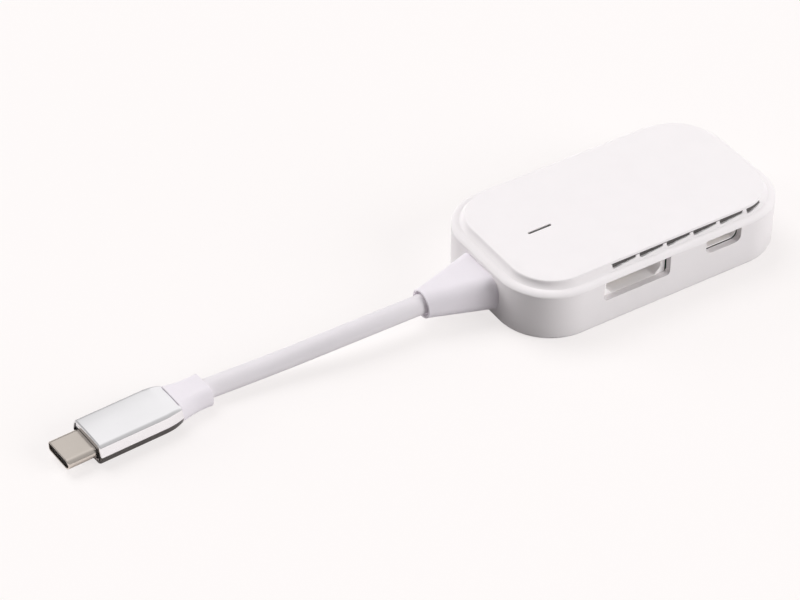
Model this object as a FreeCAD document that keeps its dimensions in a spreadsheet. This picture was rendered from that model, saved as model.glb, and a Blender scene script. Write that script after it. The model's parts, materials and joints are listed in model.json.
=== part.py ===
import FreeCAD, Part
import math
import os
import re
import Sketcher

# Wireless screen sharing dongle: a flat two-part housing with a video socket and a power socket
# in its front wall, and a short captive cable that ends in a flat reversible plug.
# The origin is at the centre of the housing's underside, +Z is up, X runs along the housing,
# the cable leaves towards -X and the sockets open towards -Y. All sizes are in millimetres.

SIZES = [
    # Housing
    ("housing_length", 69.0, "housing along X"),
    ("housing_width", 40.0, "housing along Y"),
    ("corner_radius", 12.5, "upright corners of the housing"),
    ("parting_height", 11.2, "height of the line where the cover meets the base"),
    ("wall", 1.5, "thickness of the base's walls"),
    ("floor_thickness", 1.5, "thickness of the base's floor"),
    ("base_edge", 1.0, "bevel along the underside's edge"),
    ("cover_rise", 2.5, "top of the cover above the parting line"),
    ("cover_thickness", 1.3, "thickness of the cover's top"),
    ("rim_root", 0.15, "inner edge of the cover's wall above the parting line"),
    ("shoulder_inset", 1.75, "width of the rounded shoulder round the cover"),
    ("shoulder_rise", 0.85, "height of the shoulder's inner side"),
    ("step_width", 0.9, "how far the step's hollow wall leans in"),
    ("crest_width", 0.3, "width of the bevel round the raised top"),
    ("crest_drop", 0.4, "height of the bevel round the raised top"),
    ("rim_depth", 5.0, "width of the cover's moulded rim"),
    ("lip_depth", 1.1, "how far the cover's lip reaches into the base"),
    ("fit_gap", 0.1, "clearance between parts that slide together"),
    ("free_gap", 0.3, "clearance between parts that only pass each other"),
    # Snap hooks
    ("hook_width", 4.0, "width of a snap hook's arm"),
    ("hook_thickness", 0.8, "thickness of a snap hook's arm"),
    ("hook_drop", 3.7, "reach of a snap hook below the parting line"),
    ("hook_nose", 0.45, "how far a hook's nose stands out"),
    ("hook_root", 0.7, "a hook's root above the parting line"),
    ("nose_height", 1.0, "height of a hook's nose"),
    ("nose_width", 3.2, "width of a hook's nose"),
    ("rear_hook_pitch", 18.0, "spacing of the hooks along the rear wall"),
    ("front_hook_left", 20.0, "front hook left of the video socket, from the middle"),
    ("front_hook_right", 5.0, "front hook between the sockets, from the middle"),
    # Cooling slits under the edge of the raised top
    ("slit_count", 5, "straight slits along the front"),
    ("slit_corner_gap", 1.1, "last straight slit before the corner"),
    ("slit_pitch", 7.0, "spacing of the slits"),
    ("slit_width", 6.1, "length of one slit"),
    ("slit_inset", 2.1, "outer side of the slits' channel"),
    ("slit_depth", 1.8, "depth of the slits' channel"),
    ("slit_roof", 0.55, "thickness of the top above the slits"),
    ("slit_height", 1.1, "height of the slits' channel"),
    ("corner_slit_angle", 25.0, "turn of the slit that follows the corner"),
    # Indicator
    ("indicator_x", -19.55, "middle of the indicator slit"),
    ("indicator_length", 5.9, "length of the indicator slit"),
    ("indicator_width", 0.75, "width of the indicator slit"),
    ("pipe_width", 1.3, "width of the light pipe's column"),
    ("pipe_flange", 1.0, "thickness of the light pipe's flange"),
    ("led_length", 1.6, "indicator lamp along X"),
    ("led_width", 0.8, "indicator lamp along Y"),
    ("led_height", 0.6, "height of the indicator lamp"),
    # Main board and its screws
    ("board_drop", 4.85, "top of the board below the parting line"),
    ("board_thickness", 1.2, "thickness of the board"),
    ("board_gap", 0.6, "gap between the board and the walls"),
    ("anchor_room", 4.8, "room for the cable anchor between wall and board"),
    ("screw_left_gap", 12.5, "left screw and rest from the housing's end"),
    ("screw_left_side", 7.0, "left screw and rest from the housing's sides"),
    ("screw_right_gap", 9.0, "right screw and rest from the housing's end"),
    ("screw_right_side", 8.5, "right screw and rest from the housing's sides"),
    ("boss_half", 2.1, "half the side of the screw bosses and rests"),
    ("rib_thickness", 1.2, "thickness of the ribs in the base"),
    ("screw_radius", 1.0, "radius of a board screw's thread"),
    ("screw_head_radius", 1.9, "radius of a board screw's head"),
    ("screw_head_height", 1.1, "height of a board screw's head"),
    ("screw_length", 4.0, "length of a board screw under its head"),
    # Video socket
    ("video_x", -8.2, "middle of the video socket"),
    ("video_mouth_width", 14.0, "width of the video socket's mouth"),
    ("video_mouth_height", 4.55, "height of the video socket's mouth"),
    ("video_foot_width", 11.0, "width of the mouth's narrow lower side"),
    ("video_side_height", 2.9, "height of the mouth's upright sides"),
    ("video_depth", 11.5, "length of the video socket"),
    ("video_flange_side", 1.2, "width of the flange beside the mouth"),
    ("video_cutout_width", 17.0, "width of the cut-out in the wall"),
    ("notch_round", 0.8, "lower corners of the video cut-out"),
    ("video_tongue_width", 12.0, "width of the video socket's tongue"),
    ("video_tongue_thickness", 1.5, "thickness of the video socket's tongue"),
    ("video_tongue_setback", 2.2, "tongue behind the mouth"),
    ("socket_sheet", 0.25, "sheet that the socket shells are folded from"),
    ("socket_block", 2.4, "thickness of the insulating block at a socket's back"),
    ("leg_length", 1.4, "length of a socket leg along the board"),
    ("leg_front", 2.6, "front legs behind the mouth"),
    ("leg_pitch", 6.6, "spacing of the front and rear legs"),
    # Power socket
    ("power_x", 14.3, "middle of the power socket"),
    ("power_rise", 3.1, "middle of the power socket above the board"),
    ("power_mouth_width", 8.34, "width of the power socket's mouth"),
    ("power_mouth_height", 2.56, "height of the power socket's mouth"),
    ("power_depth", 7.3, "length of the power socket"),
    ("power_cutout_gap", 0.2, "gap round the power socket in the wall"),
    ("power_notch_round", 1.5, "lower corners of the power cut-out"),
    ("power_tongue_width", 6.69, "width of the power socket's tongue"),
    ("power_tongue_thickness", 0.7, "thickness of the power socket's tongue"),
    ("power_tongue_setback", 0.9, "tongue behind the mouth"),
    ("contact_thickness", 0.1, "thickness of a contact strip"),
    ("contact_setback", 0.3, "contact strips behind a tongue's front"),
    ("video_contact_pitch", 1.0, "spacing of the video socket's contact strips"),
    ("video_contact_width", 0.4, "width of the video socket's contact strips"),
    ("fine_contact_pitch", 0.5, "spacing of the contact strips in power socket and plug"),
    ("fine_contact_width", 0.25, "width of the contact strips in power socket and plug"),
    # Electronics on the board
    ("shield_clearance", 1.6, "shield behind the video socket"),
    ("shield_length", 26.0, "shield along X"),
    ("shield_width", 15.0, "shield along Y"),
    ("shield_height", 2.0, "height of the shield's frame"),
    ("shield_sheet", 0.2, "sheet that the shield is folded from"),
    ("processor_side", 10.0, "side of the processor"),
    ("processor_height", 1.2, "height of the processor"),
    ("memory_length", 5.0, "memory chip along X"),
    ("memory_width", 9.0, "memory chip along Y"),
    ("memory_height", 1.0, "height of a memory chip"),
    ("pad_margin", 1.0, "heat pads inside the edge of what they lie on"),
    ("spreader_left_gap", 2.8, "heat spreader from the light pipe"),
    ("spreader_right_gap", 7.2, "heat spreader from the board's right end"),
    ("spreader_clearance", 0.6, "heat spreader behind the video socket"),
    ("spreader_thickness", 1.2, "thickness of the heat spreader"),
    ("spreader_gap", 0.3, "heat spreader under the cover's top"),
    ("radio_y", 6.0, "middle of the radio module along Y"),
    ("radio_length", 8.0, "radio module along X"),
    ("radio_width", 10.0, "radio module along Y"),
    ("radio_height", 1.8, "height of the radio module"),
    ("antenna_length", 12.0, "length of an aerial"),
    ("antenna_height", 3.2, "height of an aerial"),
    ("antenna_thickness", 0.2, "thickness of an aerial"),
    ("lead_radius", 0.4, "radius of an aerial lead"),
    ("lead_socket_side", 2.0, "side of an aerial lead's socket"),
    ("lead_socket_height", 1.2, "height of an aerial lead's socket"),
    ("lead_socket_pitch", 4.0, "spacing of the aerial leads' sockets"),
    ("coil_side", 4.0, "side of a power coil"),
    ("coil_height", 2.0, "height of a power coil"),
    ("power_edge", 4.8, "capacitors from the board's right end"),
    ("coil_pitch", 5.6, "spacing of the power coils"),
    ("part_gap", 1.2, "room between parts on the board"),
    ("capacitor_length", 2.0, "capacitor along X"),
    ("capacitor_width", 1.2, "capacitor along Y"),
    ("capacitor_height", 1.0, "height of a capacitor"),
    ("capacitor_pitch", 2.2, "spacing of the capacitors"),
    ("crystal_length", 3.2, "crystal along X"),
    ("crystal_width", 2.5, "crystal along Y"),
    ("crystal_height", 0.8, "height of the crystal"),
    ("store_length", 6.0, "storage chip along X"),
    ("store_width", 5.0, "storage chip along Y"),
    ("store_height", 1.0, "height of the storage chip"),
    # Cable and its boot
    ("cable_radius", 2.2, "radius of the cable"),
    ("cable_height", 6.2, "height of the cable where it leaves the housing"),
    ("boot_width", 13.2, "boot at the wall, along Y"),
    ("boot_height", 8.6, "boot at the wall, along Z"),
    ("boot_middle", 6.05, "height of the boot's middle at the wall"),
    ("boot_corner", 3.2, "corners of the boot"),
    ("boot_length", 14.7, "boot outside the wall"),
    ("boot_end", 6.5, "diameter of the boot's end"),
    ("boot_recess", 1.0, "depth of the recess in the boot's end"),
    ("boot_rim", 0.5, "thickness of the rim round the recess"),
    ("anchor_width", 14.8, "anchor flange inside the wall, along Y"),
    ("anchor_height", 9.0, "anchor flange inside the wall, along Z"),
    ("anchor_thickness", 1.5, "thickness of the anchor flange"),
    ("cradle_width", 3.4, "width of a rib that holds the anchor flange"),
    ("wire_radius", 0.45, "radius of a wire"),
    ("wire_pitch", 1.4, "spacing of the wires"),
    ("wire_reach", 2.4, "how far the wires reach over the board"),
    # Plug, measured along its own axis from the front of its tip
    ("plug_x", -132.63, "front of the plug's tip along X"),
    ("plug_y", 2.2, "front of the plug's tip along Y"),
    ("plug_height", 2.76, "height of the plug's axis"),
    ("plug_yaw", 3.16, "turn of the plug about the upright"),
    ("tip_width", 8.25, "width of the plug's tip"),
    ("tip_height", 2.4, "height of the plug's tip"),
    ("tip_length", 6.65, "tip in front of the sleeve"),
    ("tip_sheet", 0.3, "sheet of the plug's tip"),
    ("tip_root", 2.25, "tip behind the sleeve's front"),
    ("slot_width", 6.9, "width of the slot in the plug's tip"),
    ("slot_height", 0.9, "height of the slot in the plug's tip"),
    ("slot_depth", 5.4, "depth of the slot in the plug's tip"),
    ("strip_setback", 0.6, "contact strips behind the slot's mouth"),
    ("sleeve_width", 11.5, "width of the plug's metal sleeve, along the edge halfway up its sides"),
    ("sleeve_height", 5.5, "height of the plug's metal sleeve"),
    ("sleeve_top", 9.9, "width of the sleeve's flat top"),
    ("sleeve_foot", 9.3, "width of the sleeve's flat underside"),
    ("sleeve_length", 19.5, "length of the sleeve"),
    ("sleeve_wall", 0.5, "wall of the sleeve"),
    ("sleeve_cavity", 15.3, "length of the sleeve's wide bore"),
    ("sleeve_taper_length", 4.6, "length of the sleeve's drawn-in end"),
    ("sleeve_taper", 0.75, "how far each side is drawn in"),
    ("throat_width", 8.6, "width of the bore at the sleeve's end"),
    ("throat_height", 4.2, "height of the bore at the sleeve's end"),
    ("throat_corner", 0.8, "corners of that bore"),
    ("collar_setback", 0.35, "collar behind the sleeve's front edge"),
    ("collar_thickness", 1.2, "thickness of the collar round the tip"),
    ("can_wall", 0.25, "sheet of the can inside the sleeve"),
    ("card_width", 8.4, "width of the plug's small board"),
    ("card_thickness", 0.8, "thickness of the plug's small board"),
    ("card_length", 11.0, "length of the plug's small board"),
    ("marker_side", 3.0, "side of the chip on the small board"),
    ("marker_height", 0.7, "height of the chip on the small board"),
    ("neck_root_width", 9.3, "neck at the sleeve, across"),
    ("neck_root_height", 5.0, "neck at the sleeve, upright"),
    ("neck_corner", 2.1, "corners of the neck"),
    ("neck_end_width", 7.6, "neck at the cable, across"),
    ("neck_end_height", 4.9, "neck at the cable, upright"),
    ("neck_length", 7.75, "neck behind the sleeve"),
    ("neck_flange", 1.5, "flange of the neck inside the sleeve"),
]

# The cable's route from the boot to the plug's neck, in whole points that the cable turns at.
CABLE_ROUTE = [
    (-48.2, 0.0, 6.2),
    (-60.8, 0.0, 6.2),
    (-85.6, 3.25, 2.95),
    (-98.78, 4.07, 2.76),
]
ARC_SHARE = 0.45

# Where the rim's section turns on the convex shoulder and on the hollow step, as shares of their run
# along X and Y. Flat facets stand for the curves.
SHOULDER_SHARES = ((0.25, 0.6), (0.6, 0.93))
STEP_SHARE = (0.656, 0.419)

FINE_CONTACTS = 12
WIRES = 2

doc = FreeCAD.newDocument("screen_sharing_dongle")
sheet = doc.addObject("Spreadsheet::Sheet", "Sizes")
for row, (alias, size, words) in enumerate(SIZES, start=1):
    sheet.set(f"A{row}", words)
    sheet.set(f"B{row}", str(size))
    sheet.setAlias(f"B{row}", alias)
doc.recompute()
ALIASES = {alias for alias, size, words in SIZES}

# Places that several pieces share
HALF_LENGTH = "housing_length / 2"
HALF_WIDTH = "housing_width / 2"
BOARD_TOP = "(parting_height - board_drop)"
BOARD_BOTTOM = "(parting_height - board_drop - board_thickness)"
COVER_TOP = "(parting_height + cover_rise)"
COVER_UNDER = "(parting_height + cover_rise - cover_thickness)"
SHOULDER_EDGE = ("-shoulder_inset", "shoulder_rise")
STEP_EDGE = ("-(shoulder_inset + step_width)", "cover_rise - crest_drop")
CREST_INSET = "(shoulder_inset + step_width + crest_width)"
MOUTH_Y = "-(housing_width / 2 - wall - fit_gap)"
VIDEO_Z = "(parting_height - board_drop + video_mouth_height / 2 + socket_sheet)"
POWER_Z = "(parting_height - board_drop + power_rise)"
BOARD_LEFT = "-(housing_length / 2 - wall - anchor_room)"
BOARD_RIGHT = "(housing_length / 2 - wall - board_gap)"
NOSE_BOTTOM = "(parting_height - hook_drop + nose_height / 2)"
SLIT_TOP = "(parting_height + cover_rise - slit_roof)"
LID_TOP = "(parting_height - board_drop + shield_height + shield_sheet)"
SPREADER_BOTTOM = "(parting_height + cover_rise - cover_thickness - spreader_gap - spreader_thickness)"
SLEEVE_END = "(tip_length + sleeve_length)"
NECK_END = "(tip_length + sleeve_length + neck_length)"
COSINE, SINE = "cos(plug_yaw * 1deg)", "sin(plug_yaw * 1deg)"
CABLE_INNER_END = "-(housing_length / 2 - wall - anchor_thickness)"
SOCKET_BACK = f"({MOUTH_Y} + video_depth)"
CAPACITOR_X = f"({BOARD_RIGHT} - power_edge - capacitor_length / 2)"
COIL_X = f"({CAPACITOR_X} - capacitor_length / 2 - part_gap - coil_side / 2)"
SHIELD_X = f"({COIL_X} - coil_side / 2 - part_gap - shield_length / 2)"
RADIO_X = f"({SHIELD_X} - shield_length / 2 - part_gap - radio_length / 2)"
SHIELD_Y = f"({SOCKET_BACK} + shield_clearance + shield_width / 2)"
LEFT_SCREW_X = "-(housing_length / 2 - screw_left_gap)"
LEFT_SCREW_Y = "(housing_width / 2 - screw_left_side)"
RIGHT_SCREW_X = "(housing_length / 2 - screw_right_gap)"
RIGHT_SCREW_Y = "(housing_width / 2 - screw_right_side)"
SCREW_PLACES = [(LEFT_SCREW_X, LEFT_SCREW_Y), (RIGHT_SCREW_X, "-" + RIGHT_SCREW_Y)]
REST_PLACES = [(LEFT_SCREW_X, "-" + LEFT_SCREW_Y), (RIGHT_SCREW_X, RIGHT_SCREW_Y)]
# Each hook is the X of its middle and the side of the housing it is on
HOOK_PLACES = [
    ("-rear_hook_pitch", 1),
    ("0", 1),
    ("rear_hook_pitch", 1),
    ("-front_hook_left", -1),
    ("front_hook_right", -1),
]

ORIGIN = FreeCAD.Vector(0, 0, 0)
UPRIGHT = FreeCAD.Vector(0, 0, 1)

pieces = []


def tie(text):
    """Turn the names of sizes in an expression into references to the sheet."""
    return re.sub("[a-z][a-z_]*", lambda word: "Sizes." * (word.group() in ALIASES) + word.group(), text)


def value(text):
    """The number that an expression has now."""
    return float(sheet.evalExpression(tie(text)))


def bind(thing, **paths):
    """Tie properties to expressions. A double underscore in a name stands for a dot."""
    for path, text in paths.items():
        thing.setExpression(path.replace("__", "."), tie(text))


def keep(thing, label):
    """Name a finished piece, which is written to a file of that name."""
    thing.Label = label
    pieces.append(thing)
    return thing


def new_body(label, x="0", y="0", z="0", kept=True):
    """A body whose own origin stands at a place."""
    body = doc.addObject("PartDesign::Body", "Body_" + label)
    bind(body, Placement__Base__x=x, Placement__Base__y=y, Placement__Base__z=z)
    if kept:
        keep(body, label)
    return body


def new_plug_body(label):
    """A body on the plug's axis, which starts at the front of the tip and runs to the cable."""
    body = doc.addObject("PartDesign::Body", "Body_" + label)
    body.Placement = FreeCAD.Placement(ORIGIN, FreeCAD.Rotation(UPRIGHT, value("plug_yaw")))
    bind(body, Placement__Base__x="plug_x", Placement__Base__y="plug_y", Placement__Base__z="plug_height")
    bind(body, Placement__Rotation__Angle="plug_yaw")
    return keep(body, label)


def new_sketch(body, name, role, x="0", y="0", z="0"):
    """A sketch on one of the body's own origin planes, with its origin shifted by expressions."""
    sketch = body.newObject("Sketcher::SketchObject", name)
    plane = next(item for item in body.Origin.OriginFeatures if item.Role == role)
    sketch.AttachmentSupport = (plane, "")
    sketch.MapMode = "FlatFace"
    bind(sketch, AttachmentOffset__Base__x=x, AttachmentOffset__Base__y=y, AttachmentOffset__Base__z=z)
    return sketch


def dimension(sketch, kind, places, text):
    """Add a dimension to a sketch and tie it to an expression."""
    index = sketch.addConstraint(Sketcher.Constraint(kind, *places, value(text)))
    sketch.setExpression(f"Constraints[{index}]", tie(text))


def fix_point(sketch, edge, end, x, y):
    """Hold an edge's end at a place, measured from the sketch's origin."""
    dimension(sketch, "DistanceX", (-1, 1, edge, end), x)
    dimension(sketch, "DistanceY", (-1, 1, edge, end), y)


def rounded_rectangle(sketch, width, height, radius):
    """A rectangle with round corners about the sketch's origin. It starts on its right side."""
    round_radius = value(radius)
    across = value(width) / 2 - round_radius
    up = value(height) / 2 - round_radius
    lines, arcs = [], []
    for quarter, (side_x, side_y) in enumerate(((1, 1), (-1, 1), (-1, -1), (1, -1))):
        middle = FreeCAD.Vector(side_x * across, side_y * up, 0)
        before = math.radians(90 * quarter)
        after = math.radians(90 * quarter + 90)
        outward = FreeCAD.Vector(math.cos(before), math.sin(before), 0)
        along = FreeCAD.Vector(-outward.y, outward.x, 0)
        run = 2 * (up if quarter % 2 == 0 else across)
        corner = middle + outward * round_radius
        lines.append(sketch.addGeometry(Part.LineSegment(corner - along * run, corner)))
        circle = Part.Circle(middle, UPRIGHT, round_radius)
        arcs.append(sketch.addGeometry(Part.ArcOfCircle(circle, before, after)))
    for quarter in range(4):
        sketch.addConstraint(Sketcher.Constraint("Tangent", lines[quarter], 2, arcs[quarter], 1))
        sketch.addConstraint(Sketcher.Constraint("Tangent", arcs[quarter], 2, lines[(quarter + 1) % 4], 1))
        direction = "Vertical" if quarter % 2 == 0 else "Horizontal"
        sketch.addConstraint(Sketcher.Constraint(direction, lines[quarter]))
    for quarter in range(3):
        sketch.addConstraint(Sketcher.Constraint("Equal", arcs[quarter], arcs[quarter + 1]))
    sketch.addConstraint(Sketcher.Constraint("Symmetric", arcs[0], 3, arcs[2], 3, -1, 1))
    dimension(sketch, "DistanceX", (arcs[1], 3, arcs[0], 3), f"({width}) - 2 * ({radius})")
    dimension(sketch, "DistanceY", (arcs[3], 3, arcs[0], 3), f"({height}) - 2 * ({radius})")
    dimension(sketch, "Radius", (arcs[0],), radius)


def round_slot(sketch, width, height):
    """A slot with half-round ends about the sketch's origin."""
    radius = value(height) / 2
    across = value(width) / 2 - radius
    right = FreeCAD.Vector(across, 0, 0)
    left = FreeCAD.Vector(-across, 0, 0)
    rise = FreeCAD.Vector(0, radius, 0)
    quarter = math.pi / 2
    right_round = Part.ArcOfCircle(Part.Circle(right, UPRIGHT, radius), -quarter, quarter)
    left_round = Part.ArcOfCircle(Part.Circle(left, UPRIGHT, radius), quarter, 3 * quarter)
    right_end = sketch.addGeometry(right_round)
    upper = sketch.addGeometry(Part.LineSegment(right + rise, left + rise))
    left_end = sketch.addGeometry(left_round)
    lower = sketch.addGeometry(Part.LineSegment(left - rise, right - rise))
    loop = [right_end, upper, left_end, lower]
    for index, edge in enumerate(loop):
        sketch.addConstraint(Sketcher.Constraint("Tangent", edge, 2, loop[(index + 1) % 4], 1))
    sketch.addConstraint(Sketcher.Constraint("Horizontal", upper))
    sketch.addConstraint(Sketcher.Constraint("Symmetric", right_end, 3, left_end, 3, -1, 1))
    dimension(sketch, "DistanceX", (left_end, 3, right_end, 3), f"({width}) - ({height})")
    dimension(sketch, "Radius", (right_end,), f"({height}) / 2")


def circle_at(sketch, x, y, radius):
    """A circle at a place in a sketch."""
    middle = FreeCAD.Vector(value(x), value(y), 0)
    edge = sketch.addGeometry(Part.Circle(middle, UPRIGHT, value(radius)))
    fix_point(sketch, edge, 3, x, y)
    dimension(sketch, "Radius", (edge,), radius)


def outline(sketch, corners):
    """A closed outline through corners (x, y) or (x, y, radius, turn).

    A radius makes the edge that arrives at the corner an arc, which turns left if turn is 1 and
    right if it is -1.
    """
    points = [FreeCAD.Vector(value(corner[0]), value(corner[1]), 0) for corner in corners]
    edges = []
    for index, corner in enumerate(corners):
        start, end = points[index - 1], points[index]
        if len(corner) == 2:
            edges.append(sketch.addGeometry(Part.LineSegment(start, end)))
            continue
        chord = end - start
        radius, turn = value(corner[2]), corner[3]
        bulge = radius - math.sqrt(radius ** 2 - (chord.Length / 2) ** 2)
        side = FreeCAD.Vector(chord.y, -chord.x, 0).normalize() * (turn * bulge)
        edges.append(sketch.addGeometry(Part.Arc(start, (start + end) / 2 + side, end)))
    last_ends = [2 if len(corner) == 2 or corner[3] > 0 else 1 for corner in corners]
    for index, corner in enumerate(corners):
        after = (index + 1) % len(corners)
        first_end = 3 - last_ends[after]
        joint = (edges[index], last_ends[index], edges[after], first_end)
        sketch.addConstraint(Sketcher.Constraint("Coincident", *joint))
        fix_point(sketch, edges[index], last_ends[index], corner[0], corner[1])
        if len(corner) == 4:
            dimension(sketch, "Radius", (edges[index],), corner[2])


def rectangle(sketch, left, low, right, high):
    """A rectangle between two corners."""
    outline(sketch, [(left, low), (right, low), (right, high), (left, high)])


def between(width, height):
    """The lower left and upper right corners of a rectangle about the origin."""
    return f"-({width}) / 2", f"-({height}) / 2", f"({width}) / 2", f"({height}) / 2"


def pad(body, name, sketch, length, backwards=False):
    """Raise a sketch into material."""
    feature = body.newObject("PartDesign::Pad", name)
    feature.Profile = sketch
    feature.Reversed = backwards
    bind(feature, Length=length)
    return feature


def pocket(body, name, sketch, length, forwards=False):
    """Cut a sketch out of the material, and check that something is cut."""
    doc.recompute()
    before = body.Shape.Volume
    feature = body.newObject("PartDesign::Pocket", name)
    feature.Profile = sketch
    feature.Reversed = forwards
    bind(feature, Length=length)
    doc.recompute()
    if not body.Shape.Volume < before - 1e-3:
        raise RuntimeError(f"{name} cuts nothing")
    return feature


def loft(body, name, first, last):
    """Material that runs from one sketch to another."""
    feature = body.newObject("PartDesign::AdditiveLoft", name)
    feature.Profile = first
    feature.Sections = [last]
    feature.Ruled = True
    return feature


def break_edges(body, name, base, chosen, size):
    """Bevel those edges of a feature that a test picks."""
    doc.recompute()
    names = [f"Edge{number}" for number, edge in enumerate(base.Shape.Edges, start=1) if chosen(edge)]
    feature = body.newObject("PartDesign::Chamfer", name)
    feature.Base = (base, names)
    bind(feature, Size=size)
    return feature


def flat_at(axis, text):
    """A test for edges that lie in one plane across an axis, 0 for X and 2 for Z."""
    place = value(text)

    def chosen(edge):
        low = (edge.BoundBox.XMin, edge.BoundBox.YMin, edge.BoundBox.ZMin)[axis]
        high = (edge.BoundBox.XMax, edge.BoundBox.YMax, edge.BoundBox.ZMax)[axis]
        return abs(low - place) < 1e-4 and abs(high - place) < 1e-4

    return chosen


def block(x, y, z, length, width, height):
    """A plain block by the middle of its underside."""
    box = doc.addObject("Part::Box", "Block")
    bind(box, Length=length, Width=width, Height=height)
    bind(box, Placement__Base__x=f"({x}) - ({length}) / 2", Placement__Base__y=f"({y}) - ({width}) / 2")
    bind(box, Placement__Base__z=z)
    return box


def group(label, parts):
    """Several separate solids that share one name."""
    compound = doc.addObject("Part::Compound", "Group_" + label)
    compound.Links = parts
    return keep(compound, label)


def inset(margin):
    """Length, width and corner radius of the housing's outline drawn in by a margin."""
    length, width = f"housing_length - 2 * ({margin})", f"housing_width - 2 * ({margin})"
    return length, width, f"corner_radius - ({margin})"


def open_notch(left, right, low, radius):
    """A cut-out with round lower corners that is open at the parting line."""
    return [
        (f"{left} + {radius}", low, radius, 1),
        (f"{right} - {radius}", low),
        (right, f"{low} + {radius}", radius, 1),
        (right, "parting_height + lip_depth"),
        (left, "parting_height + lip_depth"),
        (left, f"{low} + {radius}"),
    ]


def ridged_section(sketch, margin):
    """The sleeve's six-sided section, flat above and below with a ridge along each side."""
    height = f"sleeve_height / 2 - ({margin})"
    top, foot = (f"{size} / 2 - 0.75 * ({margin})" for size in ("sleeve_top", "sleeve_foot"))
    ridge = f"sleeve_width / 2 - ({margin})"
    outline(sketch, [
        (foot, f"-({height})"),
        (ridge, "0"),
        (top, height),
        (f"-({top})", height),
        (f"-({ridge})", "0"),
        (f"-({foot})", f"-({height})"),
    ])


# Base of the housing

def make_bottom_shell():
    """The tub with its wall cut-outs, lap rebate, screw bosses, hook recesses and cable anchor."""
    body = new_body("bottom_shell")
    footprint = new_sketch(body, "Footprint", "XY_Plane")
    rounded_rectangle(footprint, *inset("0"))
    tub = pad(body, "Tub", footprint, "parting_height")
    break_edges(body, "UndersideEdge", tub, flat_at(2, "0"), "base_edge")
    hollow = new_sketch(body, "HollowOutline", "XY_Plane", z="parting_height")
    rounded_rectangle(hollow, *inset("wall"))
    pocket(body, "Hollow", hollow, "parting_height - floor_thickness")
    rebate = new_sketch(body, "RebateOutline", "XY_Plane", z="parting_height")
    rounded_rectangle(rebate, *inset("wall / 2"))
    pocket(body, "LipRebate", rebate, "lip_depth + fit_gap")

    bosses = new_sketch(body, "BossOutlines", "XY_Plane", z="floor_thickness / 2")
    for x, y in SCREW_PLACES:
        rectangle(bosses, f"{x} - boss_half", f"{y} - boss_half", f"{x} + boss_half", f"{y} + boss_half")
    pad(body, "Bosses", bosses, f"{BOARD_BOTTOM} - floor_thickness / 2")
    rests = new_sketch(body, "RestOutlines", "XY_Plane", z="floor_thickness / 2")
    for x, y in REST_PLACES:
        low, high = f"{y} - rib_thickness / 2", f"{y} + rib_thickness / 2"
        rectangle(rests, f"{x} - boss_half", low, f"{x} + boss_half", high)
    pad(body, "Rests", rests, f"{BOARD_BOTTOM} - floor_thickness / 2")
    pilots = new_sketch(body, "PilotCircles", "XY_Plane", z=BOARD_BOTTOM)
    for x, y in SCREW_PLACES:
        circle_at(pilots, x, y, "screw_radius")
    pocket(body, "ScrewPilots", pilots, "screw_length - board_thickness + fit_gap")

    cradle = new_sketch(body, "CradleOutline", "XY_Plane", z="floor_thickness / 2")
    face = f"-({HALF_LENGTH} - wall - anchor_thickness - fit_gap)"
    for side in (-1, 1):
        far, near = f"{side} * anchor_width / 2", f"{side} * (anchor_width / 2 - cradle_width)"
        rectangle(cradle, face, near, f"{face} + rib_thickness", far)
    pad(body, "AnchorCradle", cradle, "cable_height - floor_thickness / 2")

    hole = new_sketch(body, "BootHoleOutline", "YZ_Plane", y="boot_middle", z=f"-({HALF_LENGTH} - wall)")
    hole_size = ("boot_width + 2 * fit_gap", "boot_height + 2 * fit_gap", "boot_corner + fit_gap")
    rounded_rectangle(hole, *hole_size)
    pocket(body, "BootHole", hole, "wall + fit_gap")

    video = new_sketch(body, "VideoCutoutOutline", "XZ_Plane", z=f"{HALF_WIDTH} - wall")
    video_floor = f"{VIDEO_Z} - video_mouth_height / 2 - fit_gap / 2"
    video_left, video_right = "video_x - video_cutout_width / 2", "video_x + video_cutout_width / 2"
    outline(video, open_notch(video_left, video_right, video_floor, "notch_round"))
    pocket(body, "VideoCutout", video, "wall + fit_gap", forwards=True)

    power = new_sketch(body, "PowerCutoutOutline", "XZ_Plane", z=f"{HALF_WIDTH} - wall")
    power_half = "(power_mouth_width / 2 + socket_sheet + power_cutout_gap)"
    power_floor = f"{POWER_Z} - power_mouth_height / 2 - socket_sheet - power_cutout_gap"
    power_left, power_right = f"power_x - {power_half}", f"power_x + {power_half}"
    outline(power, open_notch(power_left, power_right, power_floor, "power_notch_round"))
    pocket(body, "PowerCutout", power, "wall + fit_gap", forwards=True)

    recesses = new_sketch(body, "HookRecessOutlines", "XY_Plane", z=f"{NOSE_BOTTOM} + nose_height + fit_gap")
    for x, side in HOOK_PLACES:
        far = f"{side} * ({HALF_WIDTH} - wall + hook_nose + fit_gap)"
        near = f"{side} * ({HALF_WIDTH} - wall)"
        rectangle(recesses, f"{x} - hook_width / 2", near, f"{x} + hook_width / 2", far)
    pocket(body, "HookRecesses", recesses, "nose_height + 2 * fit_gap")
    return body


# Cover of the housing

def curve_point(share, start_x, start_y, end_x, end_y):
    """A corner of the rim's section, by its shares of the way between two others along X and Y."""
    across, up = share
    return f"{start_x} + {across} * ({end_x} - ({start_x}))", f"{start_y} + {up} * ({end_y} - ({start_y}))"


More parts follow.
